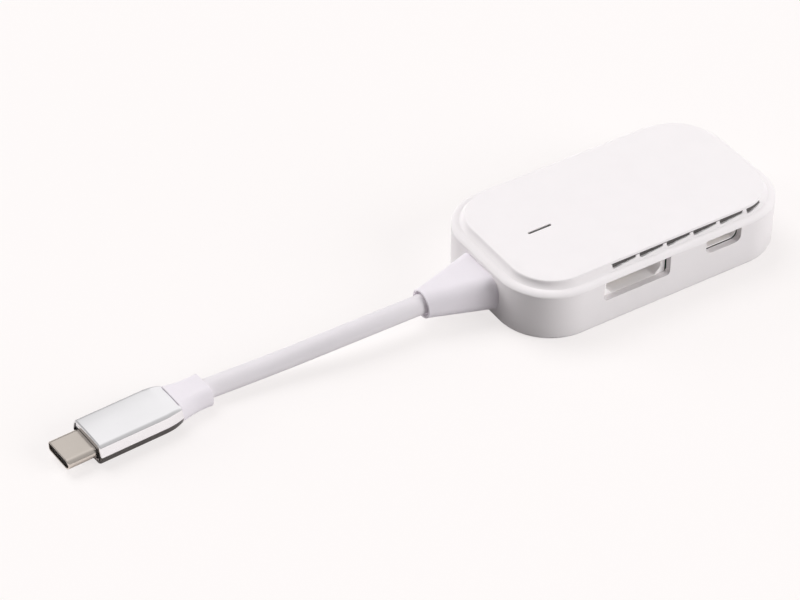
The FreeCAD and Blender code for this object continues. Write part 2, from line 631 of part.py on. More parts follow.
def make_top_shell():
    """The cover: a swept rim with shoulder and step, the raised top, slits, lip and snap hooks."""
    body = new_body("top_shell")
    top = new_sketch(body, "TopOutline", "XY_Plane", z=COVER_UNDER)
    rounded_rectangle(top, *inset("rim_depth - wall / 2"))
    pad(body, "RaisedTop", top, "cover_thickness")

    path = new_sketch(body, "RimPath", "XY_Plane", z="parting_height")
    rounded_rectangle(path, *inset("0"))
    start = f"{HALF_WIDTH} - corner_radius"
    section = new_sketch(body, "RimSection", "XZ_Plane", x=HALF_LENGTH, y="parting_height", z=start)
    outline(section, [
        ("0", "0"),
        *(curve_point(share, "0", "0", *SHOULDER_EDGE) for share in SHOULDER_SHARES),
        SHOULDER_EDGE,
        curve_point(STEP_SHARE, *SHOULDER_EDGE, *STEP_EDGE),
        STEP_EDGE,
        (f"-{CREST_INSET}", "cover_rise"),
        ("-rim_depth", "cover_rise"),
        ("-rim_depth", "cover_rise - cover_thickness"),
        (f"-{CREST_INSET}", "cover_rise - cover_thickness"),
        ("-wall", "rim_root"),
        ("-wall", "-lip_depth"),
        ("-(wall / 2 + fit_gap)", "-lip_depth"),
        ("-(wall / 2 + fit_gap)", "0"),
    ])
    rim = body.newObject("PartDesign::AdditivePipe", "Rim")
    rim.Profile = section
    rim.Spine = (path, [f"Edge{number}" for number in range(1, 9)])

    front = f"-({HALF_WIDTH} - slit_inset)"
    back = f"-({HALF_WIDTH} - slit_inset - slit_depth)"
    slits = new_sketch(body, "SlitOutlines", "XY_Plane", z=SLIT_TOP)
    for number in range(int(value("slit_count"))):
        left = f"{HALF_LENGTH} - corner_radius - slit_corner_gap - slit_width - {number} * slit_pitch"
        rectangle(slits, left, front, f"{left} + slit_width", back)
    pocket(body, "Slits", slits, "slit_height")
    corner = new_sketch(body, "CornerSlitSection", "XZ_Plane")
    corner.AttachmentOffset = FreeCAD.Placement(ORIGIN, FreeCAD.Rotation(FreeCAD.Vector(0, 1, 0), -90))
    bind(corner, AttachmentOffset__Base__x=f"{HALF_LENGTH} - corner_radius", AttachmentOffset__Base__z=start)
    outer = "corner_radius - slit_inset"
    rectangle(corner, f"{outer} - slit_depth", f"{SLIT_TOP} - slit_height", outer, SLIT_TOP)
    doc.recompute()
    before = body.Shape.Volume
    turn = body.newObject("PartDesign::Groove", "CornerSlit")
    turn.Profile = corner
    turn.ReferenceAxis = (corner, ["V_Axis"])
    bind(turn, Angle="corner_slit_angle")
    doc.recompute()
    if not body.Shape.Volume < before - 1e-3:
        raise RuntimeError("the corner slit cuts nothing")

    indicator = new_sketch(body, "IndicatorSlot", "XY_Plane", x="indicator_x", z=COVER_TOP)
    round_slot(indicator, "indicator_length", "indicator_width")
    pocket(body, "IndicatorSlit", indicator, "cover_thickness")

    gaps = new_sketch(body, "LipGapOutlines", "XY_Plane", z="parting_height - lip_depth")
    inside = f"({HALF_WIDTH} - wall - free_gap)"
    video_half = "(video_cutout_width / 2 + fit_gap)"
    power_half = "(power_mouth_width / 2 + socket_sheet + power_cutout_gap + fit_gap)"
    rectangle(gaps, f"video_x - {video_half}", f"-{HALF_WIDTH}", f"video_x + {video_half}", f"-{inside}")
    rectangle(gaps, f"power_x - {power_half}", f"-{HALF_WIDTH}", f"power_x + {power_half}", f"-{inside}")
    boot_half = "(boot_width / 2 + free_gap)"
    rectangle(gaps, f"-{HALF_LENGTH}", f"-{boot_half}", f"-({HALF_LENGTH} - wall - free_gap)", boot_half)
    pocket(body, "LipGaps", gaps, "lip_depth", forwards=True)
    relief = new_sketch(body, "SocketReliefOutline", "XY_Plane", z="parting_height")
    relief_half = "(video_mouth_width / 2 + video_flange_side + 2 * fit_gap)"
    near, far = f"-({HALF_WIDTH} - wall)", f"-({HALF_WIDTH} - rim_depth)"
    rectangle(relief, f"video_x - {relief_half}", near, f"video_x + {relief_half}", far)
    relief_depth = "video_mouth_height + 2 * socket_sheet - board_drop + fit_gap"
    pocket(body, "SocketRelief", relief, relief_depth, forwards=True)

    arms = new_sketch(body, "HookArmOutlines", "XY_Plane", z="parting_height - hook_drop")
    noses = new_sketch(body, "HookNoseOutlines", "XY_Plane", z=NOSE_BOTTOM)
    for x, side in HOOK_PLACES:
        face = f"{side} * ({HALF_WIDTH} - wall - fit_gap)"
        inner = f"{side} * ({HALF_WIDTH} - wall - fit_gap - hook_thickness)"
        nose = f"{side} * ({HALF_WIDTH} - wall - fit_gap + hook_nose)"
        root = f"{side} * ({HALF_WIDTH} - wall - fit_gap - hook_thickness / 2)"
        rectangle(arms, f"{x} - hook_width / 2", face, f"{x} + hook_width / 2", inner)
        rectangle(noses, f"{x} - nose_width / 2", nose, f"{x} + nose_width / 2", root)
    pad(body, "HookArms", arms, "hook_drop + hook_root")
    pad(body, "HookNoses", noses, "nose_height")
    return body


# Indicator

def make_indicator():
    """The small lamp on the board and the clear pipe that carries its light to the slit."""
    lamp = block("indicator_x", "0", BOARD_TOP, "led_length", "led_width", "led_height")
    keep(lamp, "indicator_lamp")
    body = new_body("light_pipe", "indicator_x")
    foot = f"({BOARD_TOP} + led_height + free_gap)"
    column = new_sketch(body, "PipeColumnOutline", "XY_Plane", z=foot)
    rectangle(column, *between("indicator_length", "pipe_width"))
    pad(body, "PipeColumn", column, f"{COVER_UNDER} - {foot}")
    flange = new_sketch(body, "PipeFlangeOutline", "XY_Plane", z=f"{COVER_UNDER} - pipe_flange")
    rectangle(flange, *between("indicator_length + 2 * pipe_flange", "pipe_width + 2 * pipe_flange"))
    pad(body, "PipeFlange", flange, "pipe_flange")
    window = new_sketch(body, "PipeWindowOutline", "XY_Plane", z=f"{COVER_UNDER} - pipe_flange / 2")
    round_slot(window, "indicator_length - fit_gap", "indicator_width - fit_gap")
    pad(body, "PipeWindow", window, "cover_thickness + pipe_flange / 2 - fit_gap")
    return body


# Main board and what holds it

def make_main_board():
    """The board with cut corners, screw holes and slots for the video socket's legs."""
    body = new_body("main_board")
    middle_x = f"({BOARD_LEFT} + {BOARD_RIGHT}) / 2"
    shape = new_sketch(body, "BoardOutline", "XY_Plane", x=middle_x, z=BOARD_BOTTOM)
    full_length, width, radius = inset("wall + board_gap")
    cut = f"({radius} - 4 * board_gap)"
    end, side = f"(({BOARD_RIGHT} - ({BOARD_LEFT})) / 2)", f"(({width}) / 2)"
    outline(shape, [
        (end, f"-{side} + {cut}"),
        (end, f"{side} - {cut}"),
        (f"{end} - {cut}", side),
        (f"-{end} + {cut}", side),
        (f"-{end}", f"{side} - {cut}"),
        (f"-{end}", f"-{side} + {cut}"),
        (f"-{end} + {cut}", f"-{side}"),
        (f"{end} - {cut}", f"-{side}"),
    ])
    pad(body, "Board", shape, "board_thickness")
    holes = new_sketch(body, "BoardHoleOutlines", "XY_Plane", z=BOARD_TOP)
    for x, y in SCREW_PLACES:
        circle_at(holes, x, y, "screw_radius + fit_gap")
    for side in (-1, 1):
        for row in (0, 1):
            near = f"video_x + {side} * (video_mouth_width / 2 - fit_gap)"
            far = f"video_x + {side} * (video_mouth_width / 2 + socket_sheet + fit_gap)"
            front = f"{MOUTH_Y} + leg_front + {row} * leg_pitch"
            rectangle(holes, near, f"{front} - fit_gap", far, f"{front} + leg_length + fit_gap")
    pocket(body, "BoardHoles", holes, "board_thickness")
    return body


def make_board_screws():
    """Two screws through the board into the bosses."""
    screws = []
    for number, (x, y) in enumerate(SCREW_PLACES):
        body = new_body(f"screw_{number}", x, y, BOARD_TOP, kept=False)
        half = new_sketch(body, f"ScrewSection{number}", "XZ_Plane")
        outline(half, [
            ("0", "-screw_length"),
            ("screw_radius", "-screw_length"),
            ("screw_radius", "0"),
            ("screw_head_radius", "0"),
            ("screw_head_radius", "screw_head_height"),
            ("0", "screw_head_height"),
        ])
        turned = body.newObject("PartDesign::Revolution", f"Screw{number}")
        turned.Profile = half
        turned.ReferenceAxis = (half, ["V_Axis"])
        turned.Angle = 360
        screws.append(body)
    group("board_screws", screws)


# Video socket

def video_profile(sketch, grow):
    """The mouth's outline, wider at the top, grown outwards by an amount."""
    side = f"(video_mouth_width / 2 + {grow})"
    top = f"(video_mouth_height / 2 + {grow})"
    low = f"-(video_mouth_height / 2 + {grow})"
    knee = f"(video_mouth_height / 2 - video_side_height - {grow} / 2)"
    foot = f"(video_foot_width / 2 + {grow} / 2)"
    outline(sketch, [
        (side, top),
        (f"-{side}", top),
        (f"-{side}", knee),
        (f"-{foot}", low),
        (foot, low),
        (side, knee),
    ])


def make_video_socket():
    """The folded shell with its flange and legs, the insulating tongue and the contact strips."""
    origin = ("video_x", MOUTH_Y, VIDEO_Z)
    shell = new_body("video_socket_shell", *origin)
    outer = new_sketch(shell, "VideoShellOutline", "XZ_Plane")
    video_profile(outer, "socket_sheet")
    pad(shell, "VideoShell", outer, "video_depth", backwards=True)
    flange = new_sketch(shell, "VideoFlangeOutline", "XZ_Plane")
    side = "(video_mouth_width / 2 + video_flange_side)"
    low = "-(video_mouth_height / 2 + 2 * socket_sheet)"
    rectangle(flange, f"-{side}", low, side, "video_mouth_height / 2 + socket_sheet")
    pad(shell, "VideoFlange", flange, "socket_sheet", backwards=True)
    bore = new_sketch(shell, "VideoMouthOutline", "XZ_Plane")
    video_profile(bore, "0")
    pocket(shell, "VideoMouth", bore, "video_depth - socket_sheet")
    leg_low = "-(video_mouth_height / 2 + socket_sheet + board_thickness + leg_length / 2)"
    leg_high = "(video_mouth_height / 2 - video_side_height + socket_sheet)"
    legs = new_sketch(shell, "VideoLegOutlines", "XY_Plane", z=leg_low)
    for hand in (-1, 1):
        for row in (0, 1):
            near = f"{hand} * video_mouth_width / 2"
            far = f"{hand} * (video_mouth_width / 2 + socket_sheet)"
            front = f"leg_front + {row} * leg_pitch"
            rectangle(legs, near, front, far, f"{front} + leg_length")
    pad(shell, "VideoLegs", legs, f"{leg_high} - {leg_low}")

    tongue = new_body("video_socket_tongue", *origin)
    room = "(video_depth - socket_sheet)"
    back = new_sketch(tongue, "VideoBlockOutline", "XZ_Plane", z=f"-({room} - socket_block)")
    video_profile(back, "-fit_gap / 2")
    pad(tongue, "VideoBlock", back, "socket_block", backwards=True)
    blade = new_sketch(tongue, "VideoTongueOutline", "XZ_Plane", z="-video_tongue_setback")
    rectangle(blade, *between("video_tongue_width", "video_tongue_thickness"))
    pad(tongue, "VideoTongue", blade, f"{room} - socket_block / 2 - video_tongue_setback", backwards=True)

    strips = []
    reach = f"({room} - socket_block - video_tongue_setback - contact_setback)"
    middle = f"{MOUTH_Y} + video_tongue_setback + contact_setback + {reach} / 2"
    strip = ("video_contact_width", reach, "contact_thickness")
    upper, lower = "video_tongue_thickness / 2", "-(video_tongue_thickness / 2 + contact_thickness)"
    for count, height in ((10, upper), (9, lower)):
        for number in range(count):
            x = f"video_x + {number - (count - 1) / 2} * video_contact_pitch"
            strips.append(block(x, middle, f"{VIDEO_Z} + {height}", *strip))
    group("video_socket_contacts", strips)


# Power socket

def make_power_socket():
    """The drawn shell, the base that lifts it off the board, its tongue and contact strips."""
    origin = ("power_x", MOUTH_Y, POWER_Z)
    shell = new_body("power_socket_shell", *origin)
    outer = new_sketch(shell, "PowerShellOutline", "XZ_Plane")
    round_slot(outer, "power_mouth_width + 2 * socket_sheet", "power_mouth_height + 2 * socket_sheet")
    pad(shell, "PowerShell", outer, "power_depth", backwards=True)
    bore = new_sketch(shell, "PowerMouthOutline", "XZ_Plane")
    round_slot(bore, "power_mouth_width", "power_mouth_height")
    pocket(shell, "PowerMouth", bore, "power_depth - socket_sheet")

    tongue = new_body("power_socket_tongue", *origin)
    room = "(power_depth - socket_sheet)"
    back = new_sketch(tongue, "PowerBlockOutline", "XZ_Plane", z=f"-({room} - socket_block / 2)")
    round_slot(back, "power_mouth_width - fit_gap", "power_mouth_height - fit_gap")
    pad(tongue, "PowerBlock", back, "socket_block / 2", backwards=True)
    blade = new_sketch(tongue, "PowerTongueOutline", "XZ_Plane", z="-power_tongue_setback")
    rectangle(blade, *between("power_tongue_width", "power_tongue_thickness"))
    pad(tongue, "PowerTongue", blade, f"{room} - socket_block / 4 - power_tongue_setback", backwards=True)

    strips = []
    reach = f"({room} - socket_block / 2 - power_tongue_setback - contact_setback)"
    middle = f"{MOUTH_Y} + power_tongue_setback + contact_setback + {reach} / 2"
    strip = ("fine_contact_width", reach, "contact_thickness")
    for height in ("power_tongue_thickness / 2", "-(power_tongue_thickness / 2 + contact_thickness)"):
        for number in range(FINE_CONTACTS):
            x = f"power_x + {number - (FINE_CONTACTS - 1) / 2} * fine_contact_pitch"
            strips.append(block(x, middle, f"{POWER_Z} + {height}", *strip))
    group("power_socket_contacts", strips)

    lift = f"{POWER_Z} - power_mouth_height / 2 - socket_sheet - {BOARD_TOP}"
    middle = f"{MOUTH_Y} + board_gap + power_depth / 2"
    width = "power_mouth_width - socket_sheet"
    base = block("power_x", middle, BOARD_TOP, width, "power_depth - board_gap", lift)
    keep(base, "power_socket_base")


# Electronics

def make_electronics():
    """The chips under their shield, the radio with its aerials, and the power parts."""
    frame = new_body("shield_frame", SHIELD_X, SHIELD_Y, BOARD_TOP)
    outer = new_sketch(frame, "ShieldOutline", "XY_Plane")
    rectangle(outer, *between("shield_length", "shield_width"))
    pad(frame, "ShieldWall", outer, "shield_height")
    inner = new_sketch(frame, "ShieldRoom", "XY_Plane", z="shield_height")
    across, up = "(shield_length / 2 - shield_sheet)", "(shield_width / 2 - shield_sheet)"
    rectangle(inner, f"-{across}", f"-{up}", across, up)
    pocket(frame, "ShieldOpening", inner, "shield_height")
    lid_size = ("shield_length", "shield_width", "shield_sheet")
    keep(block(SHIELD_X, SHIELD_Y, f"{BOARD_TOP} + shield_height", *lid_size), "shield_lid")

    chip_x = f"{SHIELD_X} - {across} + part_gap / 2 + processor_side / 2"
    side = "processor_side"
    keep(block(chip_x, SHIELD_Y, BOARD_TOP, side, side, "processor_height"), "processor")
    side = "processor_side - 2 * pad_margin"
    lift = "shield_height - processor_height"
    keep(block(chip_x, SHIELD_Y, f"{BOARD_TOP} + processor_height", side, side, lift), "processor_pad")
    chips = []
    for number in range(2):
        x = f"{SHIELD_X} + {across} - (1 + {number}) * (memory_length + free_gap) + memory_length / 2"
        chips.append(block(x, SHIELD_Y, BOARD_TOP, "memory_length", "memory_width", "memory_height"))
    group("memory_chips", chips)
    pad_size = ("shield_length - 4 * pad_margin", "shield_width - 4 * pad_margin")
    gap_pad = block(SHIELD_X, SHIELD_Y, LID_TOP, *pad_size, f"{SPREADER_BOTTOM} - {LID_TOP}")
    keep(gap_pad, "thermal_pad")
    left = "(indicator_x + indicator_length / 2 + pipe_flange + spreader_left_gap)"
    right = f"({BOARD_RIGHT} - spreader_right_gap)"
    width = f"2 * ({SHIELD_Y} - {SOCKET_BACK} - spreader_clearance)"
    spreader = (f"{right} - {left}", width, "spreader_thickness")
    keep(block(f"({left} + {right}) / 2", SHIELD_Y, SPREADER_BOTTOM, *spreader), "heat_spreader")

    radio = block(RADIO_X, "radio_y", BOARD_TOP, "radio_length", "radio_width", "radio_height")
    keep(radio, "radio_module")
    socket_y = "(radio_y + radio_width / 2 - lead_socket_side / 2 - fit_gap)"
    socket_z = f"({BOARD_TOP} + radio_height)"
    first_x = f"({RADIO_X} - lead_socket_pitch / 2)"
    second_x = f"({RADIO_X} + lead_socket_pitch / 2)"
    lead_socket = ("lead_socket_side", "lead_socket_side", "lead_socket_height")
    group("lead_sockets", [block(x, socket_y, socket_z, *lead_socket) for x in (first_x, second_x)])
    aerial_y = f"{HALF_WIDTH} - wall - antenna_thickness / 2"
    aerial_z = f"{BOARD_TOP} + led_height"
    aerial = (aerial_y, aerial_z, "antenna_length", "antenna_thickness", "antenna_height")
    for label, hand in (("left_aerial", -1), ("right_aerial", 1)):
        keep(block(f"{hand} * rear_hook_pitch / 2", *aerial), label)
    lead_z = value(f"{socket_z} + lead_socket_height / 2")
    face_y = value(f"{HALF_WIDTH} - wall - antenna_thickness")
    left_x = value(first_x)
    right_x = value(second_x)
    turn_x = value("rear_hook_pitch / 2")
    start_y = value(f"{socket_y} + lead_socket_side / 2")
    turn_y = (start_y + face_y) / 2
    short = [(left_x, start_y, lead_z), (left_x, face_y, lead_z)]
    turns = [(right_x, turn_y, lead_z), (turn_x, turn_y, lead_z)]
    long = [(right_x, start_y, lead_z), *turns, (turn_x, face_y, lead_z)]
    group("aerial_leads", [lead(short), lead(long)])

    coil = (BOARD_TOP, "coil_side", "coil_side", "coil_height")
    group("power_coils", [block(COIL_X, f"{side} * coil_pitch / 2", *coil) for side in (-1, 1)])
    capacitor = (BOARD_TOP, "capacitor_length", "capacitor_width", "capacitor_height")
    bank = [block(CAPACITOR_X, f"{number - 2.5} * capacitor_pitch", *capacitor) for number in range(6)]
    group("capacitors", bank)
    crystal_y = f"{SHIELD_Y} - shield_width / 2 - part_gap - crystal_width / 2"
    crystal = (crystal_y, BOARD_TOP, "crystal_length", "crystal_width", "crystal_height")
    keep(block("(video_x + power_x) / 2", *crystal), "crystal")
    store_z = f"{BOARD_BOTTOM} - store_height"
    keep(block(SHIELD_X, "0", store_z, "store_length", "store_width", "store_height"), "storage_chip")


# Cable

def tube(points, radius, words):
    """A round cable along straight runs joined by arcs as large as the runs allow."""
    corners = [FreeCAD.Vector(*point) for point in points]
    edges = []
    reached = corners[0]
    for before, corner, after in zip(corners, corners[1:], corners[2:]):
        back = before - corner
        ahead = after - corner
        shorter = min(back.Length, ahead.Length)
        half_turn = (math.pi - back.getAngle(ahead)) / 2
        bend = ARC_SHARE * shorter / math.tan(half_turn)
        print(f"{words}: bend radius {bend:.1f} mm, {bend / radius / 2:.1f} diameters")
        start = corner + back.normalize() * (ARC_SHARE * shorter)
        end = corner + ahead.normalize() * (ARC_SHARE * shorter)
        inward = (start + end - corner * 2).normalize()
        top = corner + inward * (bend / math.cos(half_turn) - bend)
        edges.append(Part.LineSegment(reached, start).toShape())
        edges.append(Part.Arc(start, top, end).toShape())
        reached = end
    edges.append(Part.LineSegment(reached, corners[-1]).toShape())
    route = Part.Wire(edges)
    ring = Part.Wire(Part.makeCircle(radius, corners[0], corners[1] - corners[0]))
    shape = route.makePipeShell([ring], True, False)
    swept = math.pi * radius ** 2 * route.Length
    print(f"{words}: length {route.Length:.2f} mm, volume {shape.Volume:.2f} of {swept:.2f} cubic mm")
    if abs(shape.Volume / swept - 1) > 0.01:
        raise RuntimeError(f"the {words} is not swept whole")
    feature = doc.addObject("Part::Feature", "Tube")
    feature.Shape = shape
    return feature


def lead(points):
    """A thin round lead along straight runs with mitred corners."""
    corners = [FreeCAD.Vector(*point) for point in points]
    ring = Part.Wire(Part.makeCircle(value("lead_radius"), corners[0], corners[1] - corners[0]))
    feature = doc.addObject("Part::Feature", "Lead")
    feature.Shape = Part.makePolygon(corners).makePipeShell([ring], True, False, 1)
    return feature


def rod(x, y, z, length, radius):
    """A round bar along X, by the middle of its left end."""
    bar = doc.addObject("Part::Cylinder", "Rod")
    bar.Placement = FreeCAD.Placement(ORIGIN, FreeCAD.Rotation(FreeCAD.Vector(0, 1, 0), 90))
    bind(bar, Height=length, Radius=radius)
    bind(bar, Placement__Base__x=x, Placement__Base__y=y, Placement__Base__z=z)
    return bar


def neck_block():
    """A block whose rear face is the plane of the neck's end, to cut the cable off against it."""
    side = 2 * value("neck_end_width")
    end = FreeCAD.Vector(value(NECK_END) - side, -side / 2, -side / 2)
    place = FreeCAD.Vector(value("plug_x"), value("plug_y"), value("plug_height"))
    plug = FreeCAD.Placement(place, FreeCAD.Rotation(UPRIGHT, value("plug_yaw")))
    box = Part.makeBox(side, side, side, end)
    box.Placement = plug * box.Placement
    return box


def make_cable_boot():
    """The tapered boot, gripped by the wall between its body and an anchor flange inside."""
    body = new_body("cable_boot")
    inner_face = f"-({HALF_LENGTH} - wall)"
    anchor_size = ("anchor_width", "anchor_height")
    root_size = ("boot_width", "boot_height", "boot_corner")
    anchor = new_sketch(body, "AnchorOutline", "YZ_Plane", y="boot_middle", z=inner_face)
    rectangle(anchor, *between(*anchor_size))
    pad(body, "AnchorFlange", anchor, "anchor_thickness")
    waist = new_sketch(body, "WaistOutline", "YZ_Plane", y="boot_middle", z=inner_face)
    rounded_rectangle(waist, *root_size)
    pad(body, "Waist", waist, "wall", backwards=True)
    root = new_sketch(body, "BootRootOutline", "YZ_Plane", y="boot_middle", z=f"-{HALF_LENGTH}")
    rounded_rectangle(root, *root_size)
    tip_x = f"-({HALF_LENGTH} + boot_length)"
    tip = new_sketch(body, "BootTipOutline", "YZ_Plane", y="cable_height", z=tip_x)
    rounded_rectangle(tip, "boot_end", "boot_end", "boot_corner")
    loft(body, "Taper", root, tip)
    bore = new_sketch(body, "CableBoreOutline", "YZ_Plane", y="cable_height", z=CABLE_INNER_END)
    circle_at(bore, "0", "0", "cable_radius + fit_gap / 2")
    pocket(body, "CableBore", bore, "boot_length + wall + anchor_thickness")
    recess = new_sketch(body, "RecessOutline", "YZ_Plane", y="cable_height", z=tip_x)
    circle_at(recess, "0", "0", "boot_end / 2 - boot_rim")
    pocket(body, "Recess", recess, "boot_recess", forwards=True)
    return body


def make_cable():
    """The cable: its length inside the boot, its wires on the board, and the free length."""
    start_x = f"-({HALF_LENGTH} + boot_length - boot_recess)"
    inner_length = f"{CABLE_INNER_END} - ({start_x})"
    keep(rod(start_x, "0", "cable_height", inner_length, "cable_radius"), "cable_inner")
    wires = []
    for number in range(WIRES):
        y = f"{number - (WIRES - 1) / 2} * wire_pitch"
        reach = f"{BOARD_LEFT} + wire_reach - ({CABLE_INNER_END})"
        wires.append(rod(CABLE_INNER_END, y, f"{BOARD_TOP} + wire_radius", reach, "wire_radius"))
    group("cable_wires", wires)
    cable = keep(tube(CABLE_ROUTE, value("cable_radius"), "cable"), "cable")
    cable.Shape = cable.Shape.cut(neck_block())


# Plug

def make_plug_tip():
    """The drawn tip with its insulator, slot and contact strips."""
    tip = new_plug_body("plug_tip")
    outer = new_sketch(tip, "TipOutline", "YZ_Plane")
    round_slot(outer, "tip_width", "tip_height")
    drawn = pad(tip, "TipTube", outer, "tip_length + tip_root")
    break_edges(tip, "TipEdge", drawn, flat_at(0, "0"), "tip_sheet / 2")
    bore = new_sketch(tip, "TipBoreOutline", "YZ_Plane")
    round_slot(bore, "tip_width - 2 * tip_sheet", "tip_height - 2 * tip_sheet")
    pocket(tip, "TipBore", bore, "tip_length + tip_root", forwards=True)

    insulator = new_plug_body("plug_insulator")
    filling = new_sketch(insulator, "InsulatorOutline", "YZ_Plane", z="2 * tip_sheet")
    round_slot(filling, "tip_width - 2 * tip_sheet - fit_gap", "tip_height - 2 * tip_sheet - fit_gap")
    pad(insulator, "Insulator", filling, "tip_length + tip_root - 2 * tip_sheet")
    mouth = new_sketch(insulator, "SlotOutline", "YZ_Plane", z="2 * tip_sheet")
    rectangle(mouth, *between("slot_width", "slot_height"))
    pocket(insulator, "Slot", mouth, "slot_depth", forwards=True)

    strips = []
    along = "(2 * tip_sheet + strip_setback)"
    turn = FreeCAD.Rotation(UPRIGHT, value("plug_yaw"))
    for side in (-1, 1):
        low = f"{side} * (slot_height - contact_thickness) / 2 - contact_thickness / 2"
        for number in range(FINE_CONTACTS):
            across = f"({number - (FINE_CONTACTS - 1) / 2} * fine_contact_pitch - fine_contact_width / 2)"
            strip = doc.addObject("Part::Box", "Strip")
            bind(strip, Length="slot_depth - strip_setback", Width="fine_contact_width")
            strip.Placement = FreeCAD.Placement(ORIGIN, turn)
            bind(strip, Height="contact_thickness", Placement__Rotation__Angle="plug_yaw")
            bind(strip, Placement__Base__x=f"plug_x + {along} * {COSINE} - {across} * {SINE}")
            bind(strip, Placement__Base__y=f"plug_y + {along} * {SINE} + {across} * {COSINE}")
            bind(strip, Placement__Base__z=f"plug_height + {low}")
            strips.append(strip)
    group("plug_contacts", strips)


def make_plug_sleeve():
    """The metal sleeve with its drawn-in end, and the collar that closes its front round the tip."""
    sleeve = new_plug_body("plug_sleeve")
    outer = new_sketch(sleeve, "SleeveOutline", "YZ_Plane", z="tip_length")
    ridged_section(outer, "0")
    stock = pad(sleeve, "SleeveStock", outer, "sleeve_length")
    break_edges(sleeve, "SleeveFrontEdge", stock, flat_at(0, "tip_length"), "sleeve_wall / 2")
    taper_start = f"({SLEEVE_END} - sleeve_taper_length)"
    bow = "(sleeve_taper_length * sleeve_taper_length / sleeve_taper / 2 + sleeve_taper / 2)"
    plan = new_sketch(sleeve, "TaperOutline", "XY_Plane", z="sleeve_height / 2")
    for side, turn in ((1, -1), (-1, 1)):
        edge = f"{side} * sleeve_width / 2"
        drawn = f"{side} * (sleeve_width / 2 - sleeve_taper)"
        beyond = f"{side} * (sleeve_width / 2 + sleeve_taper)"
        outline(plan, [
            (taper_start, edge),
            (SLEEVE_END, drawn, bow, turn),
            (f"{SLEEVE_END} + sleeve_taper", drawn),
            (f"{SLEEVE_END} + sleeve_taper", beyond),
            (taper_start, beyond),
        ])
    pocket(sleeve, "DrawnIn", plan, "sleeve_height")
    cavity = new_sketch(sleeve, "CavityOutline", "YZ_Plane", z="tip_length")
    ridged_section(cavity, "sleeve_wall")
    pocket(sleeve, "Cavity", cavity, "sleeve_cavity", forwards=True)
    throat = new_sketch(sleeve, "ThroatOutline", "YZ_Plane", z="tip_length")
    rounded_rectangle(throat, "throat_width", "throat_height", "throat_corner")
    pocket(sleeve, "Throat", throat, "sleeve_length", forwards=True)

    collar = new_plug_body("plug_collar")
    ring = new_sketch(collar, "CollarRing", "YZ_Plane", z="tip_length + collar_setback")
    ridged_section(ring, "sleeve_wall + fit_gap / 2")
    pad(collar, "CollarStock", ring, "collar_thickness")
    hole = new_sketch(collar, "CollarHole", "YZ_Plane", z="tip_length + collar_setback")
    round_slot(hole, "tip_width + fit_gap", "tip_height + fit_gap")
    pocket(collar, "CollarBore", hole, "collar_thickness", forwards=True)


def make_plug_core():
    """The can inside the sleeve with the small board and its chip."""
    can_start = "(tip_length + collar_setback + collar_thickness)"
    can_length = "(sleeve_cavity - collar_setback - collar_thickness - neck_flange - fit_gap)"
    can = new_plug_body("plug_can")
    outer = new_sketch(can, "CanOutline", "YZ_Plane", z=can_start)
    ridged_section(outer, "sleeve_wall + free_gap / 2")
    pad(can, "CanStock", outer, can_length)
    inner = new_sketch(can, "CanRoom", "YZ_Plane", z=can_start)
    ridged_section(inner, "sleeve_wall + free_gap / 2 + can_wall")
    pocket(can, "CanBore", inner, can_length, forwards=True)

    card_start = "(tip_length + tip_root)"
    card = new_plug_body("plug_board")
    middle = f"{card_start} + card_length / 2"
    edge = new_sketch(card, "CardOutline", "XY_Plane", x=middle, z="-card_thickness / 2")
    rectangle(edge, *between("card_length", "card_width"))
    pad(card, "Card", edge, "card_thickness")
    marker = new_plug_body("plug_chip")
    spot = new_sketch(marker, "MarkerOutline", "XY_Plane", x=middle, z="card_thickness / 2")
    rectangle(spot, *between("marker_side", "marker_side"))
    pad(marker, "Marker", spot, "marker_height")


def make_plug_neck():
    """The moulded neck, held by its flange behind the sleeve's narrow throat."""
    neck = new_plug_body("plug_neck")
    flange_start = "(tip_length + sleeve_cavity - neck_flange)"
    flange = new_sketch(neck, "NeckFlangeOutline", "YZ_Plane", z=flange_start)
    ridged_section(flange, "sleeve_wall + fit_gap / 2")
    pad(neck, "NeckFlange", flange, "neck_flange")
    throat = new_sketch(neck, "NeckThroatOutline", "YZ_Plane", z=flange_start)
    rounded_rectangle(throat, "throat_width - fit_gap", "throat_height - fit_gap", "throat_corner")
    pad(neck, "NeckThroat", throat, f"{SLEEVE_END} - {flange_start}")
    root = new_sketch(neck, "NeckRootOutline", "YZ_Plane", z=SLEEVE_END)
    rounded_rectangle(root, "neck_root_width", "neck_root_height", "neck_corner")
    end = new_sketch(neck, "NeckEndOutline", "YZ_Plane", z=NECK_END)
    rounded_rectangle(end, "neck_end_width", "neck_end_height", "neck_corner")
    loft(neck, "NeckTaper", root, end)
    return neck


make_bottom_shell()
make_top_shell()
make_indicator()
make_main_board()
make_board_screws()
make_video_socket()
make_power_socket()
make_electronics()
make_cable_boot()
make_cable()
make_plug_tip()
make_plug_sleeve()
make_plug_core()
make_plug_neck()
doc.recompute()

for item in doc.Objects:
    if "Invalid" in item.State or "Error" in item.State:
        raise RuntimeError(f"{item.Label} failed: {item.getStatusString()}")
for piece in pieces:
    if piece.Shape.isNull() or not piece.Shape.isValid() or not piece.Shape.Solids:
        raise RuntimeError(f"{piece.Label} has no sound solid")

os.makedirs("parts", exist_ok=True)
for piece in pieces:
    piece.Shape.exportStep(f"parts/{piece.Label}.step")
print(len(pieces), "pieces,", sum(len(piece.Shape.Solids) for piece in pieces), "solids")
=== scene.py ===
import json
import logging
import math
from dataclasses import dataclass
from enum import Enum

import bmesh
import bpy
from mathutils import Matrix, Vector

